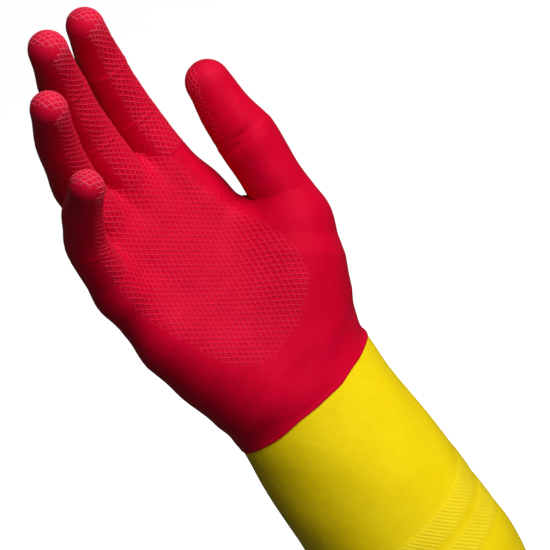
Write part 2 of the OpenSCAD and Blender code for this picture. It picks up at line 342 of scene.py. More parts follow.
@dataclass(frozen=True)
class Finishes:
    """Materials that the pieces share."""

    red: bpy.types.Material
    grip: bpy.types.Material
    yellow: bpy.types.Material
    flock: bpy.types.Material

    @classmethod
    def make(cls) -> "Finishes":
        """Makes each finish once.

        Returns:
            The materials.
        """
        rose, straw = (1.0, 0.10, 0.24), (1.0, 0.85, 0.25)
        red = RubberFinish(
            "red_skin", deep=(0.54, 0.0004, 0.017), light=(0.64, 0.0010, 0.028), pale=(0.76, 0.030, 0.09),
            tint=rose)
        # The grip's red is a lighter copy of the skin's red: a painted highlight on the ridges
        grip = RubberFinish(
            "red_grip", deep=(0.58, 0.003, 0.028), light=(0.675, 0.007, 0.040), pale=(0.82, 0.085, 0.145),
            tint=rose)
        yellow = RubberFinish(
            "yellow_skin", deep=(0.88, 0.64, 0.0015), light=(0.94, 0.71, 0.006), pale=(0.95, 0.78, 0.06),
            tint=straw)
        return cls(red.make(), grip.make(), yellow.make(), FlockFinish().make())


def face_edges(faces: Array) -> Array:
    """Edges of faces, as pairs of point numbers: each corner with the next one round."""
    return np.stack([faces.T, np.roll(faces, -1, 1).T], -1).reshape(-1, 2)


@dataclass
class Skin:
    """One piece as arrays, in millimetres: points, faces of four and three sides, and their finishes."""

    name: str
    points: Array
    quads: Array
    tris: Array = field(default_factory=lambda: np.zeros((0, 3), int))
    quad_mats: Array | None = None
    tri_mats: Array | None = None
    values: dict[str, Array] = field(default_factory=dict)
    sharp: Array | None = None

    def thick(self, normals: Array, wall: float) -> "Skin":
        """Gives an open skin a wall: each point again, deeper along its normal, and rims along open edges.

        Args:
            normals: Outward unit vectors of the points.
            wall: Thickness in millimetres.

        Returns:
            A closed skin whose inner faces take finish 1.
        """
        n = len(self.points)
        edges = np.concatenate([face_edges(self.quads), face_edges(self.tris)])
        keys = edges.min(1) * n + edges.max(1)
        _, where, count = np.unique(keys, return_index=True, return_counts=True)
        rim = edges[where[count == 1]]
        rims = np.stack([rim[:, 1], rim[:, 0], rim[:, 0] + n, rim[:, 1] + n], 1)
        return Skin(
            self.name,
            np.concatenate([self.points, self.points - wall * normals]),
            np.concatenate([self.quads, self.quads[:, ::-1] + n, rims]),
            np.concatenate([self.tris, self.tris[:, ::-1] + n]),
            np.repeat([0, 1, 0], [len(self.quads), len(self.quads), len(rims)]),
            np.repeat([0, 1], len(self.tris)),
            {k: np.concatenate([v, v]) for k, v in self.values.items()},
            np.concatenate([rim, rim + n]))

    def build(self, *materials: bpy.types.Material) -> bpy.types.Object:
        """Puts the arrays into a mesh object, in metres and at the origin.

        Args:
            materials: Finishes by number.

        Returns:
            The object.
        """
        mesh = bpy.data.meshes.new(self.name)
        mesh.vertices.add(len(self.points))
        mesh.vertices.foreach_set("co", (self.points * MM).astype(np.float32).ravel())
        nq, nt = len(self.quads), len(self.tris)
        corners = np.concatenate([self.quads.ravel(), self.tris.ravel()])
        mesh.loops.add(len(corners))
        mesh.loops.foreach_set("vertex_index", corners.astype(np.int32))
        mesh.polygons.add(nq + nt)
        starts = np.concatenate([4 * np.arange(nq), 4 * nq + 3 * np.arange(nt)])
        mesh.polygons.foreach_set("loop_start", starts.astype(np.int32))
        mats = [np.zeros(c, int) if m is None else m for m, c in ((self.quad_mats, nq), (self.tri_mats, nt))]
        for material in materials:
            mesh.materials.append(material)
        mesh.polygons.foreach_set("material_index", np.concatenate(mats).astype(np.int32))
        mesh.polygons.foreach_set("use_smooth", np.ones(nq + nt, bool))
        mesh.update(calc_edges=True)
        for name, value in self.values.items():
            mesh.attributes.new(name, "FLOAT", "POINT").data.foreach_set("value", value.astype(np.float32))
        self._mark_sharp(mesh)
        mesh.validate()
        obj = bpy.data.objects.new(self.name, mesh)
        bpy.context.scene.collection.objects.link(obj)
        return obj

    def _mark_sharp(self, mesh: bpy.types.Mesh) -> None:
        """Marks the sharp edges, found by a number made of their two points.

        Args:
            mesh: Mesh with its edges made.
        """
        if self.sharp is None:
            return
        pairs = np.zeros(2 * len(mesh.edges), np.int32)
        mesh.edges.foreach_get("vertices", pairs)
        n, pairs = len(self.points), np.sort(pairs.reshape(-1, 2).astype(np.int64), 1)
        wanted = self.sharp.min(1) * n + self.sharp.max(1)
        mesh.edges.foreach_set("use_edge_sharp", np.isin(pairs[:, 0] * n + pairs[:, 1], wanted))


def grid_quads(rows: int, columns: int) -> Array:
    """Faces of a grid of points, whose rows are closed rings.

    Args:
        rows: Number of rings.
        columns: Points in a ring.

    Returns:
        Point numbers, n by 4; a ring's points run anticlockwise seen from the last ring.
    """
    i, j = np.meshgrid(np.arange(rows - 1), np.arange(columns), indexing="ij")
    low, after = i * columns, (j + 1) % columns
    return np.stack([low + j, low + after, low + columns + after, low + columns + j], -1).reshape(-1, 4)


def ring_tris(ring: Array, coarse: Array) -> Array:
    """Faces between a ring and a coarser one: a fan to each point of that one, and one face on to the next.

    Args:
        ring: Point numbers, a multiple of the other's count.
        coarse: Point numbers of the ring with fewer points.

    Returns:
        Point numbers, n by 3.
    """
    many, few = len(ring), len(coarse)
    i, j, k = np.arange(many), np.arange(few), many // few
    fans = np.stack([ring, np.roll(ring, -1), coarse[i // k]], 1)
    gaps = np.stack([ring[k * (j + 1) % many], np.roll(coarse, -1), coarse], 1)
    return np.concatenate([fans, gaps])


def grid_normals(grid: Array) -> Array:
    """Outward unit vectors of a grid of closed rings: the way round crossed with the way along."""
    way_round = np.roll(grid, -1, 1) - np.roll(grid, 1, 1)
    return unit(np.cross(way_round, np.gradient(grid, axis=0)))


@dataclass(frozen=True)
class Digit:
    """A finger or thumb: its skeleton in the hand's own axes, and its skin as rings along a bent line.

    The skin starts as far below the knuckle as it is buried, and leaves the palm's skin at the crotch.
    """

    name: str
    knuckle: Triple
    lengths: tuple[float, ...]
    # Bends at the knuckle and the joints, lean to the side and turn about the length, in degrees
    bends: tuple[float, ...]
    splay: float
    turn: float
    # Radii at the knuckle, the joints and the tip
    radii: tuple[float, ...]
    # Distance from the knuckle to the crotch, and half the length of skin that bends there
    crotch: float
    flex: float
    buried: float = 9.0
    # Soft forms at the joints: a bulge to the thumb's side, a pad past the joint and a deep fold
    bulge: float = 0.0
    pad: float = 0.0
    fold: float = 0.0
    # Depth of the folds on the palm side, rise of the knuckle and depth of the wrinkles on the back
    crease: float = 0.25
    rise: float = 0.5
    wrinkle: float = 0.22
    # Length over which the centre line rounds a joint, and how far the digit draws in between joints
    round_run: float = 8.0
    waist: float = 0.035
    flat: float = 0.97
    # Points of a ring, distance between rings, and the last ring's angle on the dome of the tip
    sides: int = 96
    step: float = 0.7
    dome: float = 87.0

    def turned(self, lean: float) -> Array:
        """Matrix of the digit's axes, x across, y to its back and z along, at a lean in degrees."""
        return HAND @ rot("y", self.splay) @ rot("z", self.turn) @ rot("x", lean)

    @property
    def across(self) -> Array:
        """Axis across the digit, which all of its bends turn about."""
        return self.turned(0.0)[:, 0]

    @property
    def start(self) -> float:
        """Distance along the centre line at which the skin starts."""
        return -self.buried + 0.01

    @property
    def marks(self) -> Array:
        """Distance along the centre line at the knuckle, each joint and the centre of the tip."""
        return self.line()[2]

    def joints(self) -> Array:
        """Walks along the bones, each leaning by all the bends so far.

        Returns:
            Knuckle, joints and centre of the tip, in the glove's frame.
        """
        points = [hand_point(np.array(self.knuckle))]
        for length, lean in zip(self.lengths, np.cumsum(self.bends)):
            points.append(points[-1] + length * self.turned(lean)[:, 2])
        return np.array(points)

    def line(self, below: float = 12.0, steps: int = 12) -> tuple[Array, Array, Array]:
        """Centre line with its corners rounded: straight runs joined by quadratic curves near the joints.

        Args:
            below: Length of the line below the knuckle.
            steps: Steps of a curve up to its joint, and from it on.

        Returns:
            Distance along it from the knuckle, points, and the distance at each joint.
        """
        joints = self.joints()
        ways = unit(np.diff(joints, axis=0))
        t = np.linspace(0.0, 1.0, 2 * steps + 1)[:, None]
        points, marks = [joints[0] - below * ways[0], joints[0]], [1]
        for k in range(1, len(joints) - 1):
            a, b = joints[k] - self.round_run * ways[k - 1], joints[k] + self.round_run * ways[k]
            marks.append(len(points) + steps)
            points.extend((1 - t) ** 2 * a + 2 * t * (1 - t) * joints[k] + t**2 * b)
        points = np.array([*points, joints[-1]])
        far = np.concatenate([[0.0], np.cumsum(np.linalg.norm(np.diff(points, axis=0), axis=1))])
        far -= far[1]
        return far, points, np.array([*far[marks], far[-1]])

    def at(self, s: Array, reach: float = 0.5) -> tuple[Array, Array, Array]:
        """Centre, direction and radius at distances from the knuckle.

        The radius runs straight from joint to joint and draws in between them by a sine.

        Args:
            s: Distances along the centre line.
            reach: How far ahead and behind the direction is taken.

        Returns:
            Points, unit directions and radii.
        """
        far, points, marks = self.line()
        centre, ahead, behind = (
            np.stack([np.interp(x, far, p) for p in points.T], -1) for x in (s, s + reach, s - reach))
        share = np.interp(s, marks, np.arange(len(marks)))
        radius = np.interp(s, marks, self.radii) * (1.0 - self.waist * np.sin(np.pi * (share % 1.0)))
        return centre, unit(ahead - behind), radius

    def from_root(self, p: Array) -> tuple[Array, Array]:
        """Places of points by the straight line of the first bone.

        Args:
            p: Points, n by 3.

        Returns:
            Distances along that line from the knuckle, and off it.
        """
        centre, way, _ = self.at(np.zeros(1))
        along = (p - centre[0]) @ way[0]
        return along, np.linalg.norm(p - centre[0] - along[:, None] * way[0], axis=1)

    def creases(self, s: Array, angle: Array, radius: Array) -> Array:
        """How far the skin stands off its plain round form.

        Each bend has two folds across the palm side, a soft rise and three wrinkles on the back, and the
        digit's own fold, bulge and pad, each a bell along the digit; slow waves run over all.

        Args:
            s: Distance along, by ring.
            angle: Angle round, 0 to the thumb's side and 90 degrees to the back.
            radius: Plain radius, by ring.

        Returns:
            Offsets in millimetres, rings by sides.
        """
        marks = self.marks
        s, angle = s[:, None], angle[None, :]
        palm, back = np.clip(-np.sin(angle), 0, 1) ** 1.5, np.clip(np.sin(angle), 0, 1)
        out = 0.10 * np.sin(s / 5.3 + 2.0 * angle) + 0.08 * np.sin(s / 3.1 - 3.0 * angle + 1.0)
        for x in (s - mark for mark in marks[1:-1]):
            folds = bump(x - 1.9 - 0.5 * np.sin(2 * angle), 1.0) + 0.8 * bump(x + 2.0, 1.2)
            out = out - self.crease * folds * palm + self.rise * bump(x, 7.0) * back
            deep = bump(x - 0.5 - 3.0 * np.sin(angle + 1.2), 3.0) - 0.45 * bump(x + 6.5, 4.5)
            out = out - self.fold * deep * np.clip(np.cos(angle + 1.35), 0, 1) ** 3
            out = out + self.bulge * bump(x + 5.0, 13.0) * np.clip(np.cos(angle), 0, 1)
            out = out + self.pad * bump(x - 13.0, 10.0) * np.clip(np.cos(angle - 3.5), 0, 1)
            wrinkles = bump(x - 2.6, 0.8) + bump(x + 0.2, 0.8) + bump(x + 2.8, 0.8)
            out = out - self.wrinkle * wrinkles * back
        return out * ease((s + 2.0) / 12.0) * ease((marks[-1] - s) / 7.0) * radius[:, None] / 10.0

    def rings(self) -> tuple[Array, Array]:
        """Rings of the whole skin, from inside the palm to near the end of the tip.

        A ring is centre + r (flat cos a across + sin a back). Past the tip's centre the rings form a dome.

        Returns:
            Distances along, and points as rings by sides by 3.
        """
        end, r = self.marks[-1], self.radii[-1]
        s = np.concatenate([np.arange(self.start, end, self.step), [end]])
        angle = ring_angles(self.sides)
        centre, way, radius = self.at(s)
        dome = np.radians(np.linspace(0, self.dome, 16))[1:]
        s = np.concatenate([s, end + r * np.sin(dome)])
        centre = np.concatenate([centre, centre[-1] + r * np.sin(dome)[:, None] * way[-1]])
        way = np.concatenate([way, np.repeat(way[-1:], len(dome), 0)])
        radius = np.concatenate([radius, r * np.cos(dome)])
        creases = self.creases(s, angle, np.minimum(radius, 10.0)) * np.clip(radius / r, 0, 1)[:, None]
        reach = radius[:, None] + creases
        back = np.cross(way, self.across)[:, None, :]
        ring = self.flat * np.cos(angle)[None, :, None] * self.across + np.sin(angle)[None, :, None] * back
        return s, centre[:, None, :] + reach[..., None] * ring


def smoothed(table: tuple[tuple[float, ...], ...], z: Array, width: float = 6.0) -> list[Array]:
    """Columns of a table at heights z: straight lines between its rows, blurred by a bell of the given width.

    Args:
        table: Rows of a height and its values, rising.
        z: Heights wanted.
        width: Width of the bell in millimetres.

    Returns:
        One array a value.
    """
    rows = np.array(table)
    beyond, reach = 20.0, 15
    fine = np.arange(rows[0, 0] - beyond, rows[-1, 0] + beyond, 1.0)
    kernel = bump(np.arange(-reach, reach + 1.0), width)
    kernel /= kernel.sum()
    out = []
    for column in rows[:, 1:].T:
        line = np.pad(np.interp(fine, rows[:, 0], column), reach, mode="edge")
        out.append(np.interp(z, fine, np.convolve(line, kernel, mode="valid")))
    return out


def net_points(v: Array) -> tuple[Array, Array]:
    """One point in each cell of a grid that a surface passes: the mean of where it crosses the cell's edges.

    Args:
        v: Field at the grid's corners, less than 0 inside.

    Returns:
        Number of each cell's point, and the points in steps of the grid.
    """
    cells = np.zeros([n - 1 for n in v.shape], int)
    total, count = np.zeros([*cells.shape, 3]), np.zeros(cells.shape)
    for corner in np.ndindex(2, 2, 2):
        for axis in np.flatnonzero(np.equal(corner, 0)):
            step = np.eye(3, dtype=int)[axis]
            a, b = (
                v[tuple(slice(o, o + n - 1) for o, n in zip(at, v.shape))] for at in (corner, corner + step))
            cross = (a < 0) != (b < 0)
            t = np.where(cross, a / np.where(cross, a - b, 1.0), 0.0)
            total += np.where(cross[..., None], np.array(corner, float) + t[..., None] * step, 0.0)
            count += cross
    live = count > 0
    cells[live] = np.arange(live.sum())
    return cells, np.argwhere(live) + (total[live] / count[live][:, None])


def net_faces(inside: Array, cells: Array) -> Array:
    """A face over each edge of a grid that a surface crosses, through the points of the four cells round it.

    Args:
        inside: Whether the grid's corners lie inside.
        cells: Number of each cell's point.

    Returns:
        Point numbers, n by 4, facing out.
    """
    faces = []
    for axis in range(3):
        u, w = (axis + 1) % 3, (axis + 2) % 3
        low, high = [slice(1, -1)] * 3, [slice(1, -1)] * 3
        low[axis], high[axis] = slice(0, -1), slice(1, None)
        a, b = inside[tuple(low)], inside[tuple(high)]
        for order, spots in ((1, a & ~b), (-1, ~a & b)):
            at = np.argwhere(spots)
            ring = []
            for du, dw in ((0, 0), (1, 0), (1, 1), (0, 1)):
                cell = at.copy()
                cell[:, u] += du
                cell[:, w] += dw
                ring.append(cells[tuple(cell.T)])
            faces.append(np.stack(ring, 1)[:, ::order])
    return np.concatenate(faces)


@dataclass(frozen=True)
class HandForm:
    """Palm, heel, ball of the thumb, webs and the roots of the digits, as one field of distance."""

    fingers: tuple[Digit, ...]
    thumb: Digit
    # Height, centre across, centre to the back, half width, half thickness, in the hand's own axes
    sections: tuple[tuple[float, ...], ...] = (
        (-40, -1.5, 0, 37.6, 26.0), (9, -1.5, 0, 37.4, 25.4), (28, -2.0, 0.0, 36.6, 23.0),
        (48, -2.8, 0.2, 36.8, 19.3), (66, -2.8, -0.2, 36.4, 16.2), (90, -2.4, -0.4, 36.2, 14.0))
    power: float = 2.2
    # Across, and the height up to which the palm's slab reaches there
    top: tuple[tuple[float, float], ...] = ((-46, 70), (-28, 82), (-8, 94), (10, 98), (28, 96), (40, 88))
    heel: tuple[Rod, ...] = (
        Rod((-19, -2, 2), (-26, -2.5, 29), 19.0, 16.3),
        Rod((-26, -2.5, 29), (-30.5, -3.5, 47), 16.3, 14.0),
        Rod((-30.5, -3.5, 47), (-31.0, -3.5, 66), 14.0, 9.8),
        Rod((-31.0, -3.5, 66), (-32.5, -3.5, 74), 9.8, 8.2))
    ball: tuple[Rod, ...] = (
        Rod((15, -3.5, 6), (27.8, -9.2, 29), 17.8, 19.8),
        Rod((27.8, -9.2, 29), (35.2, -12, 37), 19.8, 18.5),
        Rod((35.2, -12, 37), (40.5, -14.2, 42.5), 18.4, 13.6))
    web: tuple[Rod, ...] = (
        Rod((25, -3, 59.0), (41.2, -13.2, 52.8), 10.6, 11.5),
        Rod((25, -3, 59.0), (22, 0, 82), 10.6, 8.8))
    # Lengths over which forms melt together
    top_melt: float = 10.0
    rod_melt: float = 7.0
    heel_melt: float = 7.0
    web_melt: float = 8.0
    ball_melt: float = 18.0
    root_melt: float = 4.5
    finger_melt: float = 9.0
    thumb_melt: float = 5.0
    # Depth, place and widths of the hollow of the palm
    hollow: float = 0.3
    hollow_at: tuple[float, float] = (1.0, 47.0)
    hollow_size: tuple[float, float] = (15.0, 21.0)
    # Radius of the webs between the fingers, and how far below the crotch they lie
    web_radius: float = 8.2
    web_drop: float = 9.5
    # How far a root reaches below the knuckle and past the crotch, and how far it lies under the digit's skin
    root_low: float = 2.0
    root: float = 1.5
    under: float = 0.06
    # Box of the surface, across and to the back, and its greatest height
    box: tuple[tuple[float, float], ...] = ((-66, 72), (-48, 44))
    height: float = 124

    def body(self, p: Array) -> Array:
        """Field of the palm without its digits: an oval slab melted with rods for the heel, ball and web.

        Args:
            p: Points in the glove's frame, n by 3.

        Returns:
            Distances, less than 0 inside.
        """
        q = to_hand(p)
        cx, cy, a, b = smoothed(self.sections, q[:, 2])
        u, v = np.abs((q[:, 0] - cx) / a), np.abs((q[:, 1] - cy) / b)
        d = ((u**self.power + v**self.power) ** (1 / self.power) - 1.0) * b
        d = -melt(-d, smoothed(self.top, q[:, 0])[0] - q[:, 2], self.top_melt)
        groups = (self.heel, self.heel_melt), (self.web, self.web_melt), (self.ball, self.ball_melt)
        for rods, length in groups:
            group = np.full(len(q), NOWHERE)
            for rod in rods:
                group = melt(group, rod.distance(q), self.rod_melt)
            d = melt(d, group, length)
        across = bump(q[:, 0] - self.hollow_at[0], self.hollow_size[0])
        along = bump(q[:, 2] - self.hollow_at[1], self.hollow_size[1])
        return d + self.hollow * (across * along * ease(-q[:, 1] / 8.0))

    def digit(self, d: Digit, p: Array) -> Array:
        """Field of a digit's root, up to a little past its crotch, where its own skin takes over.

        The distance is that from the centre line, with the part across made larger by the digit's flatness,
        less the radius there.

        Args:
            d: Finger or thumb.
            p: Points, n by 3.

        Returns:
            Distances, less than 0 inside.
        """
        low, reach = max(-self.root_low, -d.buried), d.crotch + self.root
        ends, ways, _ = d.at(np.array([low, reach]))
        centre, _, radius = d.at(np.clip((p - ends[0]) @ ways[0] + low, low, reach))
        rel = p - centre
        side = rel @ d.across
        out = np.sqrt(np.maximum((rel * rel).sum(1) + side * side * (1 / d.flat**2 - 1), 0.0))
        return out - radius + self.under

    def webs(self, p: Array) -> Array:
        """Field of the webs: a rod across between each two fingers, a little below their crotches.

        Args:
            p: Points, n by 3.

        Returns:
            Distances, less than 0 inside.
        """
        d = np.full(len(p), NOWHERE)
        for pair in zip(self.fingers[:-1], self.fingers[1:]):
            ends = [f.at(np.array([f.crotch - self.web_drop]))[0][0] for f in pair]
            d = np.minimum(d, Rod(*ends, self.web_radius, self.web_radius).distance(p))
        return d

    def field(self, p: Array) -> Array:
        """Field of the whole: the fingers' roots and webs melt together, then with the palm, then the thumb.

        Args:
            p: Points, n by 3.

        Returns:
            Distances, less than 0 inside.
        """
        roots = self.webs(p)
        for f in self.fingers:
            roots = melt(roots, self.digit(f, p), self.root_melt)
        d = melt(self.body(p), roots, self.finger_melt)
        return melt(d, self.digit(self.thumb, p), self.thumb_melt)

    def slope(self, p: Array, h: float = 0.2) -> Array:
        """Slope of the field by small differences of h millimetres."""
        return np.stack([self.field(p + e) - self.field(p - e) for e in h * np.eye(3)], 1) / (2 * h)

    def settle(self, p: Array, rounds: int = 3, stride: float = 1.5) -> tuple[Array, Array]:
        """Moves points onto the surface along the slope, by Newton's rule.

        Args:
            p: Points near the surface.
            rounds: Steps taken.
            stride: Longest step.

        Returns:
            Points and outward unit vectors.
        """
        for _ in range(rounds):
            g = self.slope(p)
            off = np.clip(self.field(p), -stride, stride)[:, None]
            p = p - off * g / np.maximum((g * g).sum(1), 0.05)[:, None]
        return p, unit(self.slope(p))

    def cast(self, start: Array, way: Array, near: float, far: float, steps: int) -> tuple[Array, Array]:
        """Where lines first come into the form: steps along each, then halving.

        Args:
            start: Points that the lines pass, n by 3.
            way: Their directions, n by 3.
            near: Distance along, outside the form.
            far: Distance at which the search ends.
            steps: Coarse steps.

        Returns:
            Distances along, and whether the form was met.
        """
        marks = np.linspace(near, far, steps)
        inside = np.stack([self.field(start + m * way) < 0 for m in marks], 1)
        met, first = inside.any(1), np.maximum(inside.argmax(1), 1)
        lo, hi = marks[first - 1], marks[first]
        for _ in range(12):
            mid = (lo + hi) / 2
            within = self.field(start + mid[:, None] * way) < 0
            lo, hi = np.where(within, lo, mid), np.where(within, mid, hi)
        return (lo + hi) / 2, met

    def skin(self, low: float, h: float) -> tuple[Array, Array]:
        """Surface as a net over a grid in the hand's own axes.

        Args:
            low: Least height kept.
            h: Grid step in millimetres.

        Returns:
            Points near the surface and faces of four sides.
        """
        spans = [np.arange(*span, h) for span in (*self.box, (low - 3, self.height))]
        q = np.stack(np.meshgrid(*spans, indexing="ij"), -1)
        v = self.field(hand_point(q.reshape(-1, 3))).reshape(q.shape[:3])
        cells, points = net_points(v)
        return hand_point(np.array([s[0] for s in spans]) + h * points), net_faces(v < 0, cells)


@dataclass(frozen=True)
class Zone:
    """Length of skin over which one body's motion passes into the next one's."""

    a: str
    b: str
    start: Array
    end: Array

    def hold(self, obj: bpy.types.Object) -> None:
        """Bakes the piece's place into its mesh; the zone's ends are made into vectors but not used."""
        Vector(self.start * MM)
        Vector(self.end * MM)
        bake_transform(obj)


@dataclass(frozen=True)
class DigitPart:
    """One bend of a digit and the skin on both sides of it; the last part has no upper end."""

    digit: Digit
    name: str
    zone: Zone
    low: float
    high: float | None
    nodes: tuple[str, ...]
    # How pale the tip is, partly stretched rubber and partly painted sheen, over what length it grows so, and
    # how far its pole stands off the last ring
    pale_and_sheen: float = 0.11
    pale_and_sheen_run: float = 9.0
    pole: float = 0.12

    def rows(self, s: Array) -> Array:
        """Rings that the part takes; its first ring is the last one of the part before.

        Args:
            s: Distances of the digit's rings.

        Returns:
            Numbers of rings.
        """
        lo = int(np.argmin(np.abs(s - self.low)))
        hi = len(s) - 1 if self.high is None else int(np.argmin(np.abs(s - self.high)))
        return np.arange(lo, hi + 1)

    def build(self, finishes: Finishes) -> bpy.types.Object:
        """Skin of the part with its lining, closed at the end of the tip.

        Args:
            finishes: Materials.

        Returns:
            The piece.
        """
        s, grid = self.digit.rings()
        rows, marks = self.rows(s), self.digit.marks
        n, m = len(rows), self.digit.sides
        points, ways = grid[rows].reshape(-1, 3), grid_normals(grid)[rows].reshape(-1, 3)
        # Paler towards the tip: partly stretched rubber, partly painted sheen
        tip = np.repeat(ease((s[rows] - marks[-1] + 5.0) / self.pale_and_sheen_run), m)
        tris = np.zeros((0, 3), int)
        if self.high is None:
            way = self.digit.at(marks[-1:])[1][0]
            points, ways = np.vstack([points, grid[-1].mean(0) + self.pole * way]), np.vstack([ways, way])
            tip = np.append(tip, 1.0)
            last = (n - 1) * m + np.arange(m)
            tris = np.stack([last, np.roll(last, -1), np.full(m, n * m)], 1)
        skin = Skin(f"{self.name}_skin", points, grid_quads(n, m), tris, values={"pale": self.pale_and_sheen * tip})
        obj = skin.thick(ways, WALL).build(finishes.red, finishes.flock)
        self.zone.hold(obj)
        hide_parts(*self.nodes)
        return obj


def digit_parts(d: Digit) -> list[DigitPart]:
    """Divides a digit at rings midway between its bends.

    Args:
        d: Finger or thumb.

    Returns:
        Its parts from the root to the tip.
    """
    finger = len(d.lengths) == 3
    middle = ["middle"] if finger else []
    bodies = ["palm", f"{d.name}_lower", *([f"{d.name}_mid"] if finger else []), f"{d.name}_end"]
    flex, stall = ["root", *middle, "tip"], ["base", *middle, "tip"]
    # Skin that bends past the root's flex zone, before a joint and after it, and shift of the dividing ring
    slack, before, after, shift = 1.8, 4.2, 5.0, 0.6
    root = (d.crotch, d.crotch + 2 * d.flex + slack)
    spans = [root, *((m - before, m + after) for m in d.marks[1:-1])]
    edges = [d.start, *((a[1] + b[0]) / 2 - shift for a, b in zip(spans[:-1], spans[1:])), None]
    parts = []
    for k, span in enumerate(spans):
        zone = Zone(bodies[k], bodies[k + 1], *d.at(np.array(span))[0])
        name = f"{d.name}_{stall[k]}"
        nodes = (f"{d.name}_{flex[k]}_flex", name, f"{name}_lining")
        parts.append(DigitPart(d, name, zone, edges[k], edges[k + 1], nodes))
    return parts


@dataclass(frozen=True)
class Wrist:
    """Red skin from the dip line to the palm, where the wrist bends."""

    form: HandForm
    # Half width and half thickness at the dip line, height reached in the hand's axes, and length that bends
    across: float = 38.7
    thick: float = 27.5
    reach: float = 24.0
    flex: float = 27.0
    # Radii between which the palm's form is looked for
    outermost: float = 62.0
    innermost: float = 12.0
    # Rise of the skin over the cuff's, and of the rounded lip at the dip line
    over: float = 0.03
    lip: float = 0.22
    rows: int = 70
    sides: int = 224

    @property
    def zone(self) -> Zone:
        """Bend from the dip line on, square to it."""
        start = np.array([0.0, 0.0, DIP_Z + 0.4])
        return Zone("cuff", "palm", start, start + self.flex * rot("y", -DIP_TILT)[:, 2])

    def rings(self) -> Array:
        """Rings from the dip line's oval to the palm's own section.

        Centre and axes pass from the dip plane to the hand's plane; the radius passes from the oval
        1 / sqrt((cos / across)^2 + (sin / thick)^2) to where a line from the centre leaves the palm's form.
        Low folds run over the skin between, and the dip line itself wanders up and down by sines.

        Returns:
            Points, rows by sides by 3.
        """
        t = np.linspace(0.0, 1.0, self.rows)[:, None] ** 1.15
        angle = ring_angles(self.sides)
        low, high = np.array([0.0, 0.0, DIP_Z]), hand_point(np.array([-1.5, 0.0, self.reach]))
        centre = low + (high - low) * t[..., None]
        x0, y0 = rot("y", -DIP_TILT)[:, 0], np.array([0.0, 1.0, 0.0])
        turn = ease(t[..., None] * 1.25)
        x, y = unit(x0 + turn * (HAND[:, 0] - x0)), unit(y0 + turn * (HAND[:, 1] - y0))
        ray = np.cos(angle)[None, :, None] * x + np.sin(angle)[None, :, None] * y
        starts = np.broadcast_to(centre, ray.shape).reshape(-1, 3)
        palm, met = self.form.cast(starts, -ray.reshape(-1, 3), -self.outermost, -self.innermost, 30)
        palm = np.where(met, -palm, self.thick).reshape(ray.shape[:2])
        oval = 1.0 / np.sqrt((np.cos(angle) / self.across) ** 2 + (np.sin(angle) / self.thick) ** 2)
        reach = oval + ease(t * 1.75 - 0.03) * (palm - oval)
        folds = 0.35 * np.sin(3 * angle + 9 * t) + 0.22 * np.sin(5 * angle - 14 * t + 1.0)
        reach = reach + folds * np.sin(np.pi * np.clip(t * 1.8, 0, 1)) + self.over
        edge = t * np.linalg.norm(high - low)
        reach = reach + self.lip * bump(edge - 0.7, 0.7)
        drip = 0.55 * np.sin(2 * angle + 0.7) + 0.3 * np.sin(5 * angle) + 0.16 * np.sin(11 * angle + 2.0)
        wander = (drip * (1 - ease(edge / 6.0)))[..., None] * np.array([0.0, 0.0, 1.0])
        return centre + reach[..., None] * ray + wander

    def build(self, finishes: Finishes) -> bpy.types.Object:
        """Skin with its lining.

        Args:
            finishes: Materials.

        Returns:
            The piece.
        """
        grid = self.rings()
        points, ways = grid.reshape(-1, 3), grid_normals(grid).reshape(-1, 3)
        skin = Skin("wrist_skin", points, grid_quads(*grid.shape[:2]), values={"pale": np.zeros(len(points))})
        obj = skin.thick(ways, WALL).build(finishes.red, finishes.flock)
        self.zone.hold(obj)
        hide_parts("wrist_flex_zone")
        return obj


@dataclass(frozen=True)
class Palm:
    """Red skin of the palm and the back of the hand."""

    form: HandForm
    # Height of the opening at the wrist, in the hand's own axes, and size of the net's cells
    low: float = 22.0
    step: float = 1.0
    # How far past the crotch the skin opens into a digit
    tuck: float = 3.0

    def build(self, finishes: Finishes) -> bpy.types.Object:
        """Net of the hand's form, opened at the wrist and inside each digit's root.

        Args:
            finishes: Materials.

        Returns:
            The piece.
        """
        points, quads = self.form.skin(self.low, self.step)
        points, normals = self.form.settle(points)
        keep = to_hand(points)[:, 2] > self.low
        for d in (*self.form.fingers, self.form.thumb):
            along, off = d.from_root(points)
            keep &= ~((along > d.crotch + self.tuck) & (off < d.at(np.array([d.crotch]))[2]))
        quads = quads[keep[quads].all(1)]
        used, index = np.unique(quads, return_inverse=True)
        skin = Skin("palm_skin", points[used], index.reshape(-1, 4), values={"pale": np.zeros(len(used))})
        obj = skin.thick(normals[used], WALL).build(finishes.red, finishes.flock)
        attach(obj, "palm")
        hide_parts("palm_rubber", "palm_lining")
        return obj


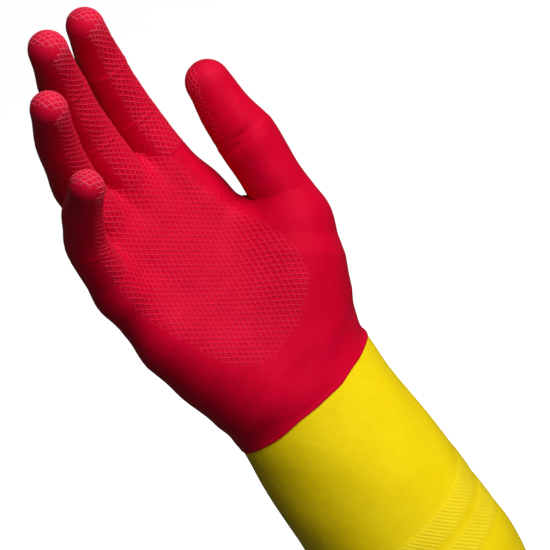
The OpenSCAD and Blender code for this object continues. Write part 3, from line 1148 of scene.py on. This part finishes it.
@dataclass(frozen=True)
class Cuff:
    """Yellow cuff: sleeve with ribbed bands, flock inside it, and a rolled bead at its mouth."""

    # Radius at the mouth, half width and half thickness at the dip line, swell between, and height of the hem
    mouth: float = 42.3
    across: float = 38.4
    thick: float = 27.2
    swell: float = 1.3
    hem: float = 15.0
    # How far the sleeve goes on under the red skin, and how far it draws in there
    under: float = 3.0
    tuck: float = 1.6
    sides: int = 540
    inner_sides: int = 90
    # Distances between rings, outside the bands and within them
    wide_step: float = 1.8
    fine_step: float = 0.42
    # Heights of the bands' middles, their width, and their rise across the hand and towards its back
    bands: tuple[float, ...] = (57.2, 43.2)
    band_width: float = 10.6
    band_tilt: tuple[float, float] = (0.09, 0.15)
    # Heights of a band's step, of the thin line at its edges and of its ribs, and the ribs' pitch and slant
    band_step: float = 0.06
    band_line: float = 0.10
    rib_height: float = 0.28
    rib_pitch: float = 1.5
    rib_slant: float = 46.0
    # Radius of the sleeve that the bands' tilt and the count of ribs are worked out from
    mean: float = 40.0
    # Radius round the mouth, height and own radius of the bead
    bead_reach: float = 43.15
    bead_z: float = 1.62
    bead_radius: float = 1.55
    bead_sides: tuple[int, int] = (240, 28)

    def share(self, z: Array) -> Array:
        """How far a height is on the way from the hem to the dip line."""
        return np.clip((z - self.hem) / (DIP_Z - self.hem), 0.0, 1.05)

    def reach(self, z: Array, angle: Array) -> Array:
        """Radius of the plain sleeve, as an oval that narrows from the round mouth.

        A swell, a bulge near the mouth, a hollow at half height and slow folds are added as bells and sines.

        Args:
            z: Height before the tilt.
            angle: Angle round, 0 to the thumb's side.

        Returns:
            Radii.
        """
        a = self.mouth + (self.across - self.mouth) * self.share(z)
        b = self.mouth + (self.thick - self.mouth) * self.share(z)
        oval = 1.0 / np.sqrt((np.cos(angle) / a) ** 2 + (np.sin(angle) / b) ** 2)
        soft = ease((z - 8.0) / 25.0) * (1 - 0.8 * ease((z - 108.0) / 16.0))
        oval = oval + self.swell * ease((z - 8.0) / 22.0) * (1 - ease((z - 60.0) / 60.0))
        oval = oval + 1.3 * bump(z - 22.0, 16.0) * np.clip(np.cos(angle + 0.47), 0, 1) ** 2 * ease(z / 12.0)
        oval = oval - 2.4 * bump(z - 66.0, 19.0) * np.clip(np.cos(angle - 2.67), 0, 1) ** 2
        folds = 0.25 * np.sin(2 * angle + 0.045 * z + 0.6) + 0.22 * np.sin(3 * angle - 0.06 * z)
        folds = folds + 0.20 * np.sin(5 * angle + 0.10 * z + 2.0) + 0.12 * np.sin(7 * angle - 0.17 * z)
        return oval + soft * folds - self.tuck * ease((z - DIP_Z - 0.9) / 2.1)

    def relief(self, z: Array, angle: Array) -> Array:
        """Height of the bands: a low step, a thin line at each edge, and slanting ribs between them.

        A band's middle follows a leaning plane, and its ribs are a cosine wave of the angle and the height.

        Args:
            z: Height before the tilt.
            angle: Angle round.

        Returns:
            Heights in millimetres.
        """
        slant, half = math.radians(self.rib_slant), self.band_width / 2
        count = round(2 * np.pi * self.mean * math.sin(slant) / self.rib_pitch)
        lean = self.mean * (self.band_tilt[0] * np.cos(angle) + self.band_tilt[1] * np.sin(angle))
        out = np.zeros(np.broadcast(z, angle).shape)
        for centre in self.bands:
            v = z - (centre + lean)
            wave = 0.5 + 0.5 * np.cos(count * angle + 2 * np.pi * math.cos(slant) * v / self.rib_pitch)
            ribs = self.rib_height * wave**1.5 * ease((half - 0.3 - np.abs(v)) / 0.8)
            step = self.band_step * ease((half - np.abs(v)) / 0.5)
            out = out + step + ribs + self.band_line * bump(np.abs(v) - half, 0.4)
        return out

    def place(self, z: Array, angle: Array, reach: Array) -> Array:
        """Points at heights, angles and radii, each level tilted by its share of the dip line's tilt.

        Args:
            z: Heights before the tilt, in a column.
            angle: Angles round, in a row.
            reach: Radii, levels by sides.

        Returns:
            Points, levels by sides by 3.
        """
        tilt = np.radians(DIP_TILT) * self.share(z)
        x, y = reach * np.cos(angle), reach * np.sin(angle)
        return np.stack([x * np.cos(tilt), y, z + x * np.sin(tilt)], -1)

    def levels(self) -> tuple[Array, Array]:
        """Heights of the rings: close together within the bands and wide apart elsewhere.

        Returns:
            Heights outside, and the wide ones alone for the inside.
        """
        wide = np.append(np.arange(0.6, DIP_Z, self.wide_step), DIP_Z + np.array([0.4, 1.2, 2.0, self.under]))
        spread = self.mean * math.hypot(*self.band_tilt) + self.band_width / 2 + 1.0
        low, high = min(self.bands) - spread, max(self.bands) + spread
        clear = (wide < low - 0.3) | (wide > high + 0.3)
        return np.sort(np.concatenate([wide[clear], np.arange(low, high, self.fine_step)])), wide

    def build_sleeve(self, finishes: Finishes) -> bpy.types.Object:
        """Sleeve with its bands outside, and a plain net of wider mesh inside for the flock.

        Args:
            finishes: Materials.

        Returns:
            The piece.
        """
        levels, inner = (z[:, None] for z in self.levels())
        angle = ring_angles(self.sides)[None, :]
        relief = self.relief(levels, angle)
        skin = self.place(levels, angle, self.reach(levels, angle) + relief)
        angle = ring_angles(self.inner_sides)[None, :]
        lining = self.place(inner, angle, self.reach(inner, angle))
        lining = lining - WALL * grid_normals(lining)
        n = relief.size
        outer = np.arange(n).reshape(relief.shape)
        inside = n + np.arange(lining.size // 3).reshape(lining.shape[:2])
        quads = [grid_quads(*outer.shape), grid_quads(*inside.shape)[:, ::-1] + n]
        rims = [ring_tris(outer[-1], inside[-1]), ring_tris(outer[0], inside[0])[:, ::-1]]
        edges = [face_edges(ring[None, :]) for ring in (outer[0], outer[-1], inside[0], inside[-1])]
        # Bands paler as they rise: a painted highlight on the ribs
        pale = np.append(0.5 * np.clip(relief / 0.5, 0, 1).ravel(), np.zeros(inside.size))
        whole = Skin(
            "cuff_sleeve_skin", np.concatenate([skin.reshape(-1, 3), lining.reshape(-1, 3)]),
            np.concatenate(quads), np.concatenate(rims), np.repeat([0, 1], [len(q) for q in quads]),
            values={"pale": pale}, sharp=np.concatenate(edges))
        obj = whole.build(finishes.yellow, finishes.flock)
        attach(obj, "cuff")
        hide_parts("cuff_sleeve", "cuff_lining")
        return obj

    def build_bead(self, finishes: Finishes) -> bpy.types.Object:
        """Rolled bead: a ring round the mouth, whose round section waves a little and shows the roll's edge.

        Args:
            finishes: Materials.

        Returns:
            The piece.
        """
        n, m = self.bead_sides
        angle, turn = ring_angles(n)[:, None], ring_angles(m)[None, :]
        r = self.bead_radius + 0.07 * np.sin(7 * angle) + 0.05 * np.sin(13 * angle + 1.0)
        r = r + 0.12 * bump(turn - 3.9, 0.35)
        reach, z = self.bead_reach + r * np.cos(turn), self.bead_z + r * np.sin(turn)
        grid = np.stack([reach * np.cos(angle), reach * np.sin(angle), z], -1)
        quads = (grid_quads(n + 1, m) % (n * m))[:, ::-1]
        skin = Skin("cuff_bead", grid.reshape(-1, 3), quads, values={"pale": np.full(n * m, 0.15)})
        obj = skin.build(finishes.yellow)
        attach(obj, "cuff")
        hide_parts("cuff_hem")
        return obj


class GripMap(ABC):
    """Flat map of a grip, u across and v along: where it carries ridges, and how it lies on a surface."""

    @abstractmethod
    def holds(self, u: Array, v: Array) -> Array:
        """Whether places on the map carry ridges."""

    @abstractmethod
    def weight(self, u: Array, v: Array) -> Array:
        """How far the ridges stand out there, from 0 to 1."""

    @abstractmethod
    def lay(self, u: Array, v: Array) -> tuple[Array, Array]:
        """Points and outward unit vectors of the surface at places on the map."""

    @abstractmethod
    def pale(self, v: Array) -> Array:
        """How much paler the ridges are along the map: a painted highlight on them, and painted sheen towards
        a digit's tip.
        """


@dataclass(frozen=True)
class Grip:
    """Moulded grip: low ridges that cross as leaning diamonds.

    The net is drawn on a flat map. Only whole cells whose middles carry ridges are drawn, and towards the
    grip's edge the ridges sink into the skin.
    """

    pitch: float = 2.15
    # Widths of a ridge at its foot and top, its rise, and how deep its foot is sunk
    base: float = 1.0
    top: float = 0.34
    rise: float = 0.175
    sunk: float = 0.12
    samples: int = 4
    # Lean of the two ways from the length of the hand, in degrees
    lean: tuple[float, float] = (21.0, -47.0)

    def flat(self, i: Array, j: Array) -> tuple[Array, Array]:
        """Place on the map of net position i, j: steps along two leaning ways, with lines a pitch apart.

        Args:
            i: Steps along the first way.
            j: Steps along the second way.

        Returns:
            Places across and along.
        """
        a, b = (math.radians(v) for v in self.lean)
        k = self.pitch / math.sin(a - b)
        return k * (i * math.sin(a) + j * math.sin(b)), k * (i * math.cos(a) + j * math.cos(b))

    def lines(self, sheet: GripMap, reach: float) -> list[tuple[Array, Array, Array]]:
        """Ridge lines of both ways.

        Args:
            sheet: Tells which cells are drawn.
            reach: Half size of the map in millimetres.

        Returns:
            For each way: u and v of points, lines by samples, and which steps between them are drawn.
        """
        n = int(reach / self.pitch * 1.5) + 2
        middle = np.arange(-n, n) + 0.5
        cells = sheet.holds(*self.flat(middle[:, None], middle[None, :]))
        t, w = np.broadcast_arrays(
            np.arange(2 * n * self.samples + 1)[None, :] / self.samples - n, np.arange(-n + 1, n)[:, None])
        out = []
        for way, places in ((cells, self.flat(t, w)), (cells.T, self.flat(w, t))):
            out.append((*places, np.repeat((way[:, 1:] | way[:, :-1]).T, self.samples, axis=1)))
        return out

    def strips(
            self, name: str, sheet: GripMap, reach: float,
            low: float = -math.inf, high: float = math.inf) -> Skin:
        """Ridges as closed strips of a four-sided section, laid on a surface.

        Args:
            name: Name of the piece.
            sheet: Map of the grip.
            reach: Half size of the map.
            low: Least v of the steps that this piece takes.
            high: Greatest v of them.

        Returns:
            The piece as arrays.
        """
        width = np.array([-self.base, self.base, self.top, -self.top])[None, :, None] / 2
        height = np.array([-self.sunk, -self.sunk, self.rise, self.rise])[None, :]
        points, quads, pale, count = [], [], [], 0
        for u, v, drawn in self.lines(sheet, reach):
            half = (v[:, 1:] + v[:, :-1]) / 2
            drawn = drawn & (half >= low) & (half < high)
            none = np.zeros((len(u), 1), bool)
            before, after = np.hstack([none, drawn]), np.hstack([drawn, none])
            used = before | after
            near = used | np.hstack([used[:, 1:], none]) | np.hstack([none, used[:, :-1]])
            spots, ways = np.zeros((*u.shape, 3)), np.zeros((*u.shape, 3))
            spots[near], ways[near] = sheet.lay(u[near], v[near])
            along = np.zeros_like(spots)
            along[:, 1:-1] = spots[:, 2:] - spots[:, :-2]
            p, n = spots[used], ways[used]
            x = unit(np.cross(n, unit(along[used])))
            stand = sheet.weight(u[used], v[used])
            lift = height * np.where(height > 0, stand[:, None], 1.0) - self.sunk * (1.0 - stand[:, None])
            ring = p[:, None] + width * x[:, None] + lift[..., None] * n[:, None]
            number = np.zeros(u.shape, int)
            number[used] = count + 4 * np.arange(len(p))
            a, b = number[:, :-1][drawn], number[:, 1:][drawn]
            quads += [np.stack([a + k, a + (k + 1) % 4, b + (k + 1) % 4, b + k], 1) for k in range(4)]
            first, last = number[used & ~before], number[used & ~after]
            quads += [first[:, None] + np.array([0, 3, 2, 1]), last[:, None] + np.arange(4)]
            points.append(ring.reshape(-1, 3))
            # Ridges paler as the map says and as far as they stand out: a painted highlight on them
            pale.append(np.repeat(sheet.pale(v[used]) * stand, 4))
            count += 4 * len(p)
        values = {"pale": np.concatenate(pale)}
        return Skin(name, np.concatenate(points), np.concatenate(quads), values=values)


@dataclass(frozen=True)
class PalmGrip(GripMap):
    """Grip of the palm: the map is the hand's own plane, seen from the palm's side, inside an outline."""

    form: HandForm
    # Outline across and along, in the hand's own axes
    outline: tuple[tuple[float, float], ...] = (
        (24, 116), (24, 90), (29, 68), (30, 54), (29, 38), (25, 28), (18, 20), (5, 14), (-11, 11.5),
        (-21, 15), (-29, 22), (-34, 37), (-38.5, 55), (-41, 74), (-42, 90), (-20, 116))
    # Length over which the ridges grow from the outline inwards, and how far they stand out on it
    fade: float = 5.0
    edge: float = 0.25
    # How much paler the ridges are: a painted highlight on them
    pale_and_sheen: float = 0.06

    def sides(self) -> list[tuple[Array, Array]]:
        """Both ends of each side of the outline."""
        corners = np.array(self.outline, float)
        return list(zip(corners, np.roll(corners, -1, 0)))

    def holds(self, u: Array, v: Array) -> Array:
        """Inside the outline, by counting the sides that a line across meets, and short of the fingers.

        Args:
            u: Places across.
            v: Places along.

        Returns:
            Whether they carry ridges.
        """
        inside = np.zeros(np.broadcast(u, v).shape, bool)
        for (x0, y0), (x1, y1) in self.sides():
            rise = y1 - y0 if y1 != y0 else 1e-9
            inside ^= ((y0 > v) != (y1 > v)) & (u < (x1 - x0) * (v - y0) / rise + x0)
        spots, ways = self.lay(u[inside], v[inside])
        good = (ways @ HAND[:, 1] < -0.35) & (np.abs(self.form.field(spots)) < 0.1)
        for d in self.form.fingers:
            along, off = d.from_root(spots)
            on_finger = (along > d.crotch - GRIP_TURN) & (off < d.at(along)[2] + 0.12)
            past_crotch = (along > d.crotch + 7.0) & (off < 17.0)
            good &= ~on_finger & ~past_crotch
        inside[inside] = good
        return inside

    def weight(self, u: Array, v: Array) -> Array:
        """Grows with the distance from the nearest side of the outline.

        Args:
            u: Places across.
            v: Places along.

        Returns:
            Shares of the full rise.
        """
        far = np.full(u.shape, NOWHERE)
        for a, b in self.sides():
            run = b - a
            t = np.clip(((u - a[0]) * run[0] + (v - a[1]) * run[1]) / (run**2).sum(), 0.0, 1.0)
            far = np.minimum(far, np.hypot(u - a[0] - t * run[0], v - a[1] - t * run[1]))
        return self.edge + (1.0 - self.edge) * ease(far / self.fade)

    def lay(self, u: Array, v: Array) -> tuple[Array, Array]:
        """Where lines towards the back of the hand first meet the form.

        Args:
            u: Places across.
            v: Places along.

        Returns:
            Points and outward unit vectors.
        """
        start = hand_point(np.stack([u, 0 * u, v], 1))
        way = np.broadcast_to(HAND[:, 1], start.shape)
        far, _ = self.form.cast(start, way, -46.0, 6.0, 40)
        spot = start + far[:, None] * way
        return spot, unit(self.form.slope(spot))

    def pale(self, v: Array) -> Array:
        """The same all over."""
        return np.full(len(v), self.pale_and_sheen)


@dataclass(frozen=True)
class DigitGrip(GripMap):
    """Grip of a digit: the map is its skin unrolled from the palm side, and goes on over the tip."""

    digit: Digit
    low: float
    # Angle round of the grip's middle, and half of its angle
    middle: float = -72.0
    half: float = 55.0
    # Angle from the middle of the tip's cap to its rim, and that middle's place to the side and over the tip
    cap: float = 87.0
    cap_at: tuple[float, float] = (52.0, 92.0)
    # Angle over the tip at which the map is wrapped on
    centre: float = 65.0

    @property
    def end(self) -> float:
        """Distance along to the centre of the tip."""
        return self.digit.marks[-1]

    def holds(self, u: Array, v: Array) -> Array:
        """Where the ridges stand out at all."""
        return self.weight(u.ravel(), v.ravel()).reshape(u.shape) > 0.0

    def weight(self, u: Array, v: Array) -> Array:
        """Falls to nothing at the half angle to each side of the middle, and at the rim of a cap on the tip.

        Args:
            u: Places across.
            v: Places along.

        Returns:
            Shares of the full rise.
        """
        lean = np.degrees(u / self.digit.at(np.clip(v, self.low, self.end))[2])
        half = self.half + 20.0 * ease((v - self.end + 12.0) / 16.0)
        band = ease((half - np.abs(lean)) / 16.0) * (v < self.end + 4.0) * (v > self.low)
        side, pad, way = self.wrapped(u, v)
        a, b = np.radians(self.cap_at)
        near = side * math.sin(a) + math.cos(a) * (pad * math.cos(b) + way * math.sin(b))
        off = np.degrees(np.arccos(np.clip(near, -1, 1)))
        return np.maximum(band, ease((self.cap - off) / 10.0) * (v > self.end - 6.0))

    def wrapped(self, u: Array, v: Array, most: float = 2.6) -> tuple[Array, Array, Array]:
        """Direction on the ball of the tip, by distance and bearing from the wrap's centre.

        Args:
            u: Places across.
            v: Places along.
            most: Greatest angle from the centre, in radians.

        Returns:
            Its parts to the side, to the pad and along the digit.
        """
        r, t0 = self.digit.radii[-1], math.radians(self.centre)
        lean, ahead = u / r, (v - self.end) / r - t0
        far = np.maximum(np.hypot(lean, ahead), 1e-9)
        turn, top = np.sin(np.minimum(far, most)) / far, np.cos(np.minimum(far, most))
        side, tangent = turn * lean, turn * ahead
        return side, top * math.cos(t0) - tangent * math.sin(t0), top * math.sin(t0) + tangent * math.cos(t0)

    def drawn_in(self, u: Array, v: Array) -> tuple[Array, Array]:
        """Moves places on the map so that cells keep their size over the ball of the tip.

        There the map is wrapped on by distance and bearing from a centre, and its part of the move grows
        from nothing to all over the pad.

        Args:
            u: Places across.
            v: Places along.

        Returns:
            Places across and along, for the plain wrapping of the digit.
        """
        r = self.digit.radii[-1]
        side, pad, way = self.wrapped(u, v)
        low = way < 0
        across = np.where(low, np.arctan2(side, pad), np.arcsin(np.clip(side, -1, 1)))
        along = np.where(low, way, np.arctan2(way, pad))
        share = ease((v - self.end + 13.0) / 17.0)
        return u + share * (r * across - u), v + share * (self.end + r * along - v)

    def on_rings(self, u: Array, v: Array) -> tuple[Array, Array]:
        """Places on the digit's rings, between four points of them by their shares.

        Args:
            u: Places across.
            v: Places along, of which those past the tip's centre are held to it.

        Returns:
            Points and outward vectors.
        """
        d, m = self.digit, self.digit.sides
        s, grid = d.rings()
        v = np.clip(v, s[0], self.end)
        _, way, radius = d.at(v)
        angle = np.radians(self.middle) + u / radius
        row, column = np.interp(v, s, np.arange(len(s))), (angle / (2 * np.pi) * m) % m
        i, j = np.minimum(row.astype(int), len(s) - 2), column.astype(int)
        fi, fj = (row - i)[:, None], (column - j)[:, None]
        near, far = (grid[i, k] * (1 - fi) + grid[i + 1, k] * fi for k in (j % m, (j + 1) % m))
        out = np.cos(angle)[:, None] * d.across * d.flat + np.sin(angle)[:, None] * np.cross(way, d.across)
        return near * (1 - fj) + far * fj, out

    def on_ball(self, u: Array, v: Array) -> tuple[Array, Array]:
        """Places on the ball of the tip: turned over it from its pad, then to the side.

        Args:
            u: Places across.
            v: Places along.

        Returns:
            Points and outward vectors.
        """
        d, r, middle = self.digit, self.digit.radii[-1], math.radians(self.middle)
        centre, way, _ = d.at(np.array([self.end]))
        back = np.cross(way, d.across)
        pad = math.cos(middle) * d.across + math.sin(middle) * back
        side = -math.sin(middle) * d.across + math.cos(middle) * back
        turn, lean = (np.maximum(v - self.end, 0.0) / r)[:, None], (u / r)[:, None]
        out = np.cos(lean) * (np.cos(turn) * pad + np.sin(turn) * way) + np.sin(lean) * side
        return centre + r * (out - (1 - d.flat) * (out @ d.across)[:, None] * d.across), out

    def lay(self, u: Array, v: Array) -> tuple[Array, Array]:
        """On the rings up to the tip's centre, and past it on the ball.

        Args:
            u: Places across.
            v: Places along.

        Returns:
            Points and outward unit vectors.
        """
        u, v = self.drawn_in(u, v)
        past = (v > self.end)[:, None]
        spot, way = (np.where(past, b, a) for a, b in zip(self.on_rings(u, v), self.on_ball(u, v)))
        return spot, unit(way)

    def pale(self, v: Array) -> Array:
        """Paler towards the tip: painted sheen and highlight on the ridges, partly stretched rubber."""
        return 0.12 + 0.34 * ease((v - self.end + 8.0) / 12.0)


@dataclass(frozen=True)
class Lamp:
    """Square soft light: its direction to the right, up and backward of the camera, and metres and watts."""

    name: str
    way: Triple
    far: float
    size: float
    watts: float


@dataclass(frozen=True)
class Studio:
    """Pale floor, soft light and a camera at the photograph's angle."""

    azimuth: float = -26.6
    elevation: float = 14.6
    roll: float = 33.4
    distance: float = 1.1
    lens: float = 167.4
    shift: tuple[float, float] = (-0.0536, 0.2104)
    target: Triple = (0.0, 0.0, 0.125)
    lit: Triple = (0.0, 0.0, 0.17)
    lamps: tuple[Lamp, ...] = (
        Lamp("key_light", (0.22, 0.74, 0.63), far=1.0, size=0.8, watts=12.6),
        Lamp("fill_light", (0.40, -0.05, 0.90), far=1.4, size=1.2, watts=4.7),
        Lamp("edge_light", (0.80, -0.55, -0.25), far=1.0, size=0.5, watts=1.6))
    ambient: float = 0.06
    # Half side of the floor, in metres, and its own light
    floor_half: float = 9.0
    floor_glow: float = 0.93

    def axes(self) -> tuple[Vector, Vector, Vector]:
        """Directions of the camera, from its angles.

        Returns:
            Right, up and backward.
        """
        a, e, r = (math.radians(v) for v in (self.azimuth, self.elevation, self.roll))
        back = Vector((math.sin(a) * math.cos(e), -math.cos(a) * math.cos(e), math.sin(e)))
        right = Vector((math.cos(a), math.sin(a), 0.0))
        up = back.cross(right)
        return right * math.cos(r) - up * math.sin(r), right * math.sin(r) + up * math.cos(r), back

    def camera(self) -> bpy.types.Object:
        """Camera on the view line, rolled as the photograph is.

        Returns:
            The camera.
        """
        data = bpy.data.cameras.new("camera")
        data.lens, data.sensor_width = self.lens, 36.0
        data.shift_x, data.shift_y = self.shift
        data.clip_end = 50.0
        obj = bpy.data.objects.new("camera", data)
        right, up, back = self.axes()
        turn = Matrix((right, up, back)).transposed().to_4x4()
        obj.matrix_world = Matrix.Translation(Vector(self.target) + back * self.distance) @ turn
        bpy.context.scene.collection.objects.link(obj)
        bpy.context.scene.camera = obj
        return obj

    def light(self, lamp: Lamp) -> bpy.types.Object:
        """Area light that looks at the middle of the glove.

        Args:
            lamp: Its place, size and power.

        Returns:
            The light.
        """
        right, up, back = self.axes()
        way = right * lamp.way[0] + up * lamp.way[1] + back * lamp.way[2]
        data = bpy.data.lights.new(lamp.name, "AREA")
        data.size, data.energy = lamp.size, lamp.watts
        obj = bpy.data.objects.new(lamp.name, data)
        obj.location = Vector(self.lit) + way.normalized() * lamp.far
        obj.rotation_euler = way.to_track_quat("Z", "Y").to_euler()
        bpy.context.scene.collection.objects.link(obj)
        return obj

    def floor(self) -> bpy.types.Object:
        """Wide white floor with a faint grain, bright enough to read as paper.

        Returns:
            The floor.
        """
        h = self.floor_half
        mesh = bpy.data.meshes.new("floor")
        mesh.from_pydata([(-h, -h, 0), (h, -h, 0), (h, h, 0), (-h, h, 0)], [], [(0, 1, 2, 3)])
        s = Shader("floor")
        colour = s.mix(s.noise(30.0, 3.0) * 0.02, (0.86, 0.86, 0.86), (0.80, 0.80, 0.80))
        white = (1.0, 1.0, 1.0, 1.0)
        material = s.finish(
            Base_Color=colour, Roughness=0.9, Emission_Color=white, Emission_Strength=self.floor_glow)
        mesh.materials.append(material)
        obj = bpy.data.objects.new("floor", mesh)
        obj.visible_glossy = False
        obj.visible_diffuse = False
        bpy.context.scene.collection.objects.link(obj)
        return obj

    def build(self) -> None:
        """Sets the stage: lights, a faint white world, floor and camera."""
        lights = [self.light(lamp) for lamp in self.lamps]
        world = bpy.data.worlds.new("studio")
        world.use_nodes = True
        background = world.node_tree.nodes["Background"]
        background.inputs["Color"].default_value = (1.0, 1.0, 1.0, 1.0)
        background.inputs["Strength"].default_value = self.ambient
        bpy.context.scene.world = world
        bpy.context.scene.view_settings.view_transform = "Standard"
        self.floor()
        self.camera()


def glove_fingers() -> tuple[Digit, ...]:
    """Sizes of the four fingers, fitted to the photograph."""
    return (
        Digit(
            "index", knuckle=(24, 0, 83), lengths=(44, 27, 22), bends=(8.8, 20, 13), splay=1, turn=-1,
            radii=(12, 11.6, 10.5, 8.2), crotch=28, flex=3.2),
        Digit(
            "middle", knuckle=(3.5, 2.5, 86), lengths=(48, 30, 23), bends=(19, 20, 12), splay=-2, turn=-3,
            radii=(12, 11.2, 10.1, 8.4), crotch=29, flex=3.2),
        Digit(
            "ring", knuckle=(-16.5, 2, 81), lengths=(45, 28, 23), bends=(24, 25, 12), splay=-4, turn=-2,
            radii=(11.5, 10.3, 9, 7.8), crotch=27, flex=3.2),
        Digit(
            "little", knuckle=(-35.5, -3.5, 72), lengths=(36, 21, 21), bends=(34, 27, 11), splay=-9, turn=6,
            radii=(10.5, 9.4, 8.4, 7.3), crotch=20, flex=3.2, buried=-8.0))


def glove_thumb() -> Digit:
    """Sizes of the thumb, fitted to the photograph."""
    return Digit(
        "thumb", knuckle=(45.3, -16.2, 49), lengths=(40, 27), bends=(8, 2), splay=14.9, turn=-50,
        radii=(14.4, 13, 10.0), crotch=9, flex=4.4, buried=4.0, bulge=1.3, pad=1.1, fold=1.05)


def build_palm_grip(form: HandForm, finishes: Finishes) -> bpy.types.Object:
    """Grip of the palm, passed to the wrist's zone as the skin under it is.

    Args:
        form: Form of the hand.
        finishes: Materials.

    Returns:
        The piece.
    """
    obj = Grip().strips("palm_grip", PalmGrip(form), reach=130.0).build(finishes.grip)
    Wrist(form).zone.hold(obj)
    return obj


def build_digit_grip(d: Digit, finishes: Finishes) -> list[bpy.types.Object]:
    """Grip of a digit, divided as its skin is; the thumb's lies only past its joint.

    Args:
        d: Finger or thumb.
        finishes: Materials.

    Returns:
        The pieces.
    """
    if len(d.lengths) == 2:
        low, grip, finish = d.marks[1] + 4.0, Grip(rise=0.12), finishes.red
        sheet = DigitGrip(d, low, middle=-135.0, half=42.0, cap=50.0, cap_at=(0.0, 30.0))
    else:
        low, grip, finish = d.crotch - GRIP_TURN, Grip(pitch=2.3, rise=0.17), finishes.grip
        sheet = DigitGrip(d, low)
    out = []
    for part in digit_parts(d):
        high = math.inf if part.high is None else part.high
        if high < low:
            continue
        ridges = grip.strips(f"{part.name}_grip", sheet, 110.0, part.low, high)
        obj = ridges.build(finish)
        part.zone.hold(obj)
        out.append(obj)
    return out


def main() -> None:
    """Builds the glove and its studio."""
    finishes = Finishes.make()
    fingers, thumb = glove_fingers(), glove_thumb()
    form, cuff = HandForm(fingers, thumb), Cuff()
    pieces = [cuff.build_sleeve(finishes), cuff.build_bead(finishes)]
    pieces += [Wrist(form).build(finishes), Palm(form).build(finishes)]
    pieces += [part.build(finishes) for d in (*fingers, thumb) for part in digit_parts(d)]
    pieces += [build_palm_grip(form, finishes)]
    pieces += [piece for d in (*fingers, thumb) for piece in build_digit_grip(d, finishes)]
    for obj in pieces:
        LOG.info("%s: %d points, %d faces", obj.name, len(obj.data.vertices), len(obj.data.polygons))
    Studio().build()


if __name__ == "__main__":
    logging.basicConfig(level=logging.INFO, format="%(name)s %(message)s")
    main()
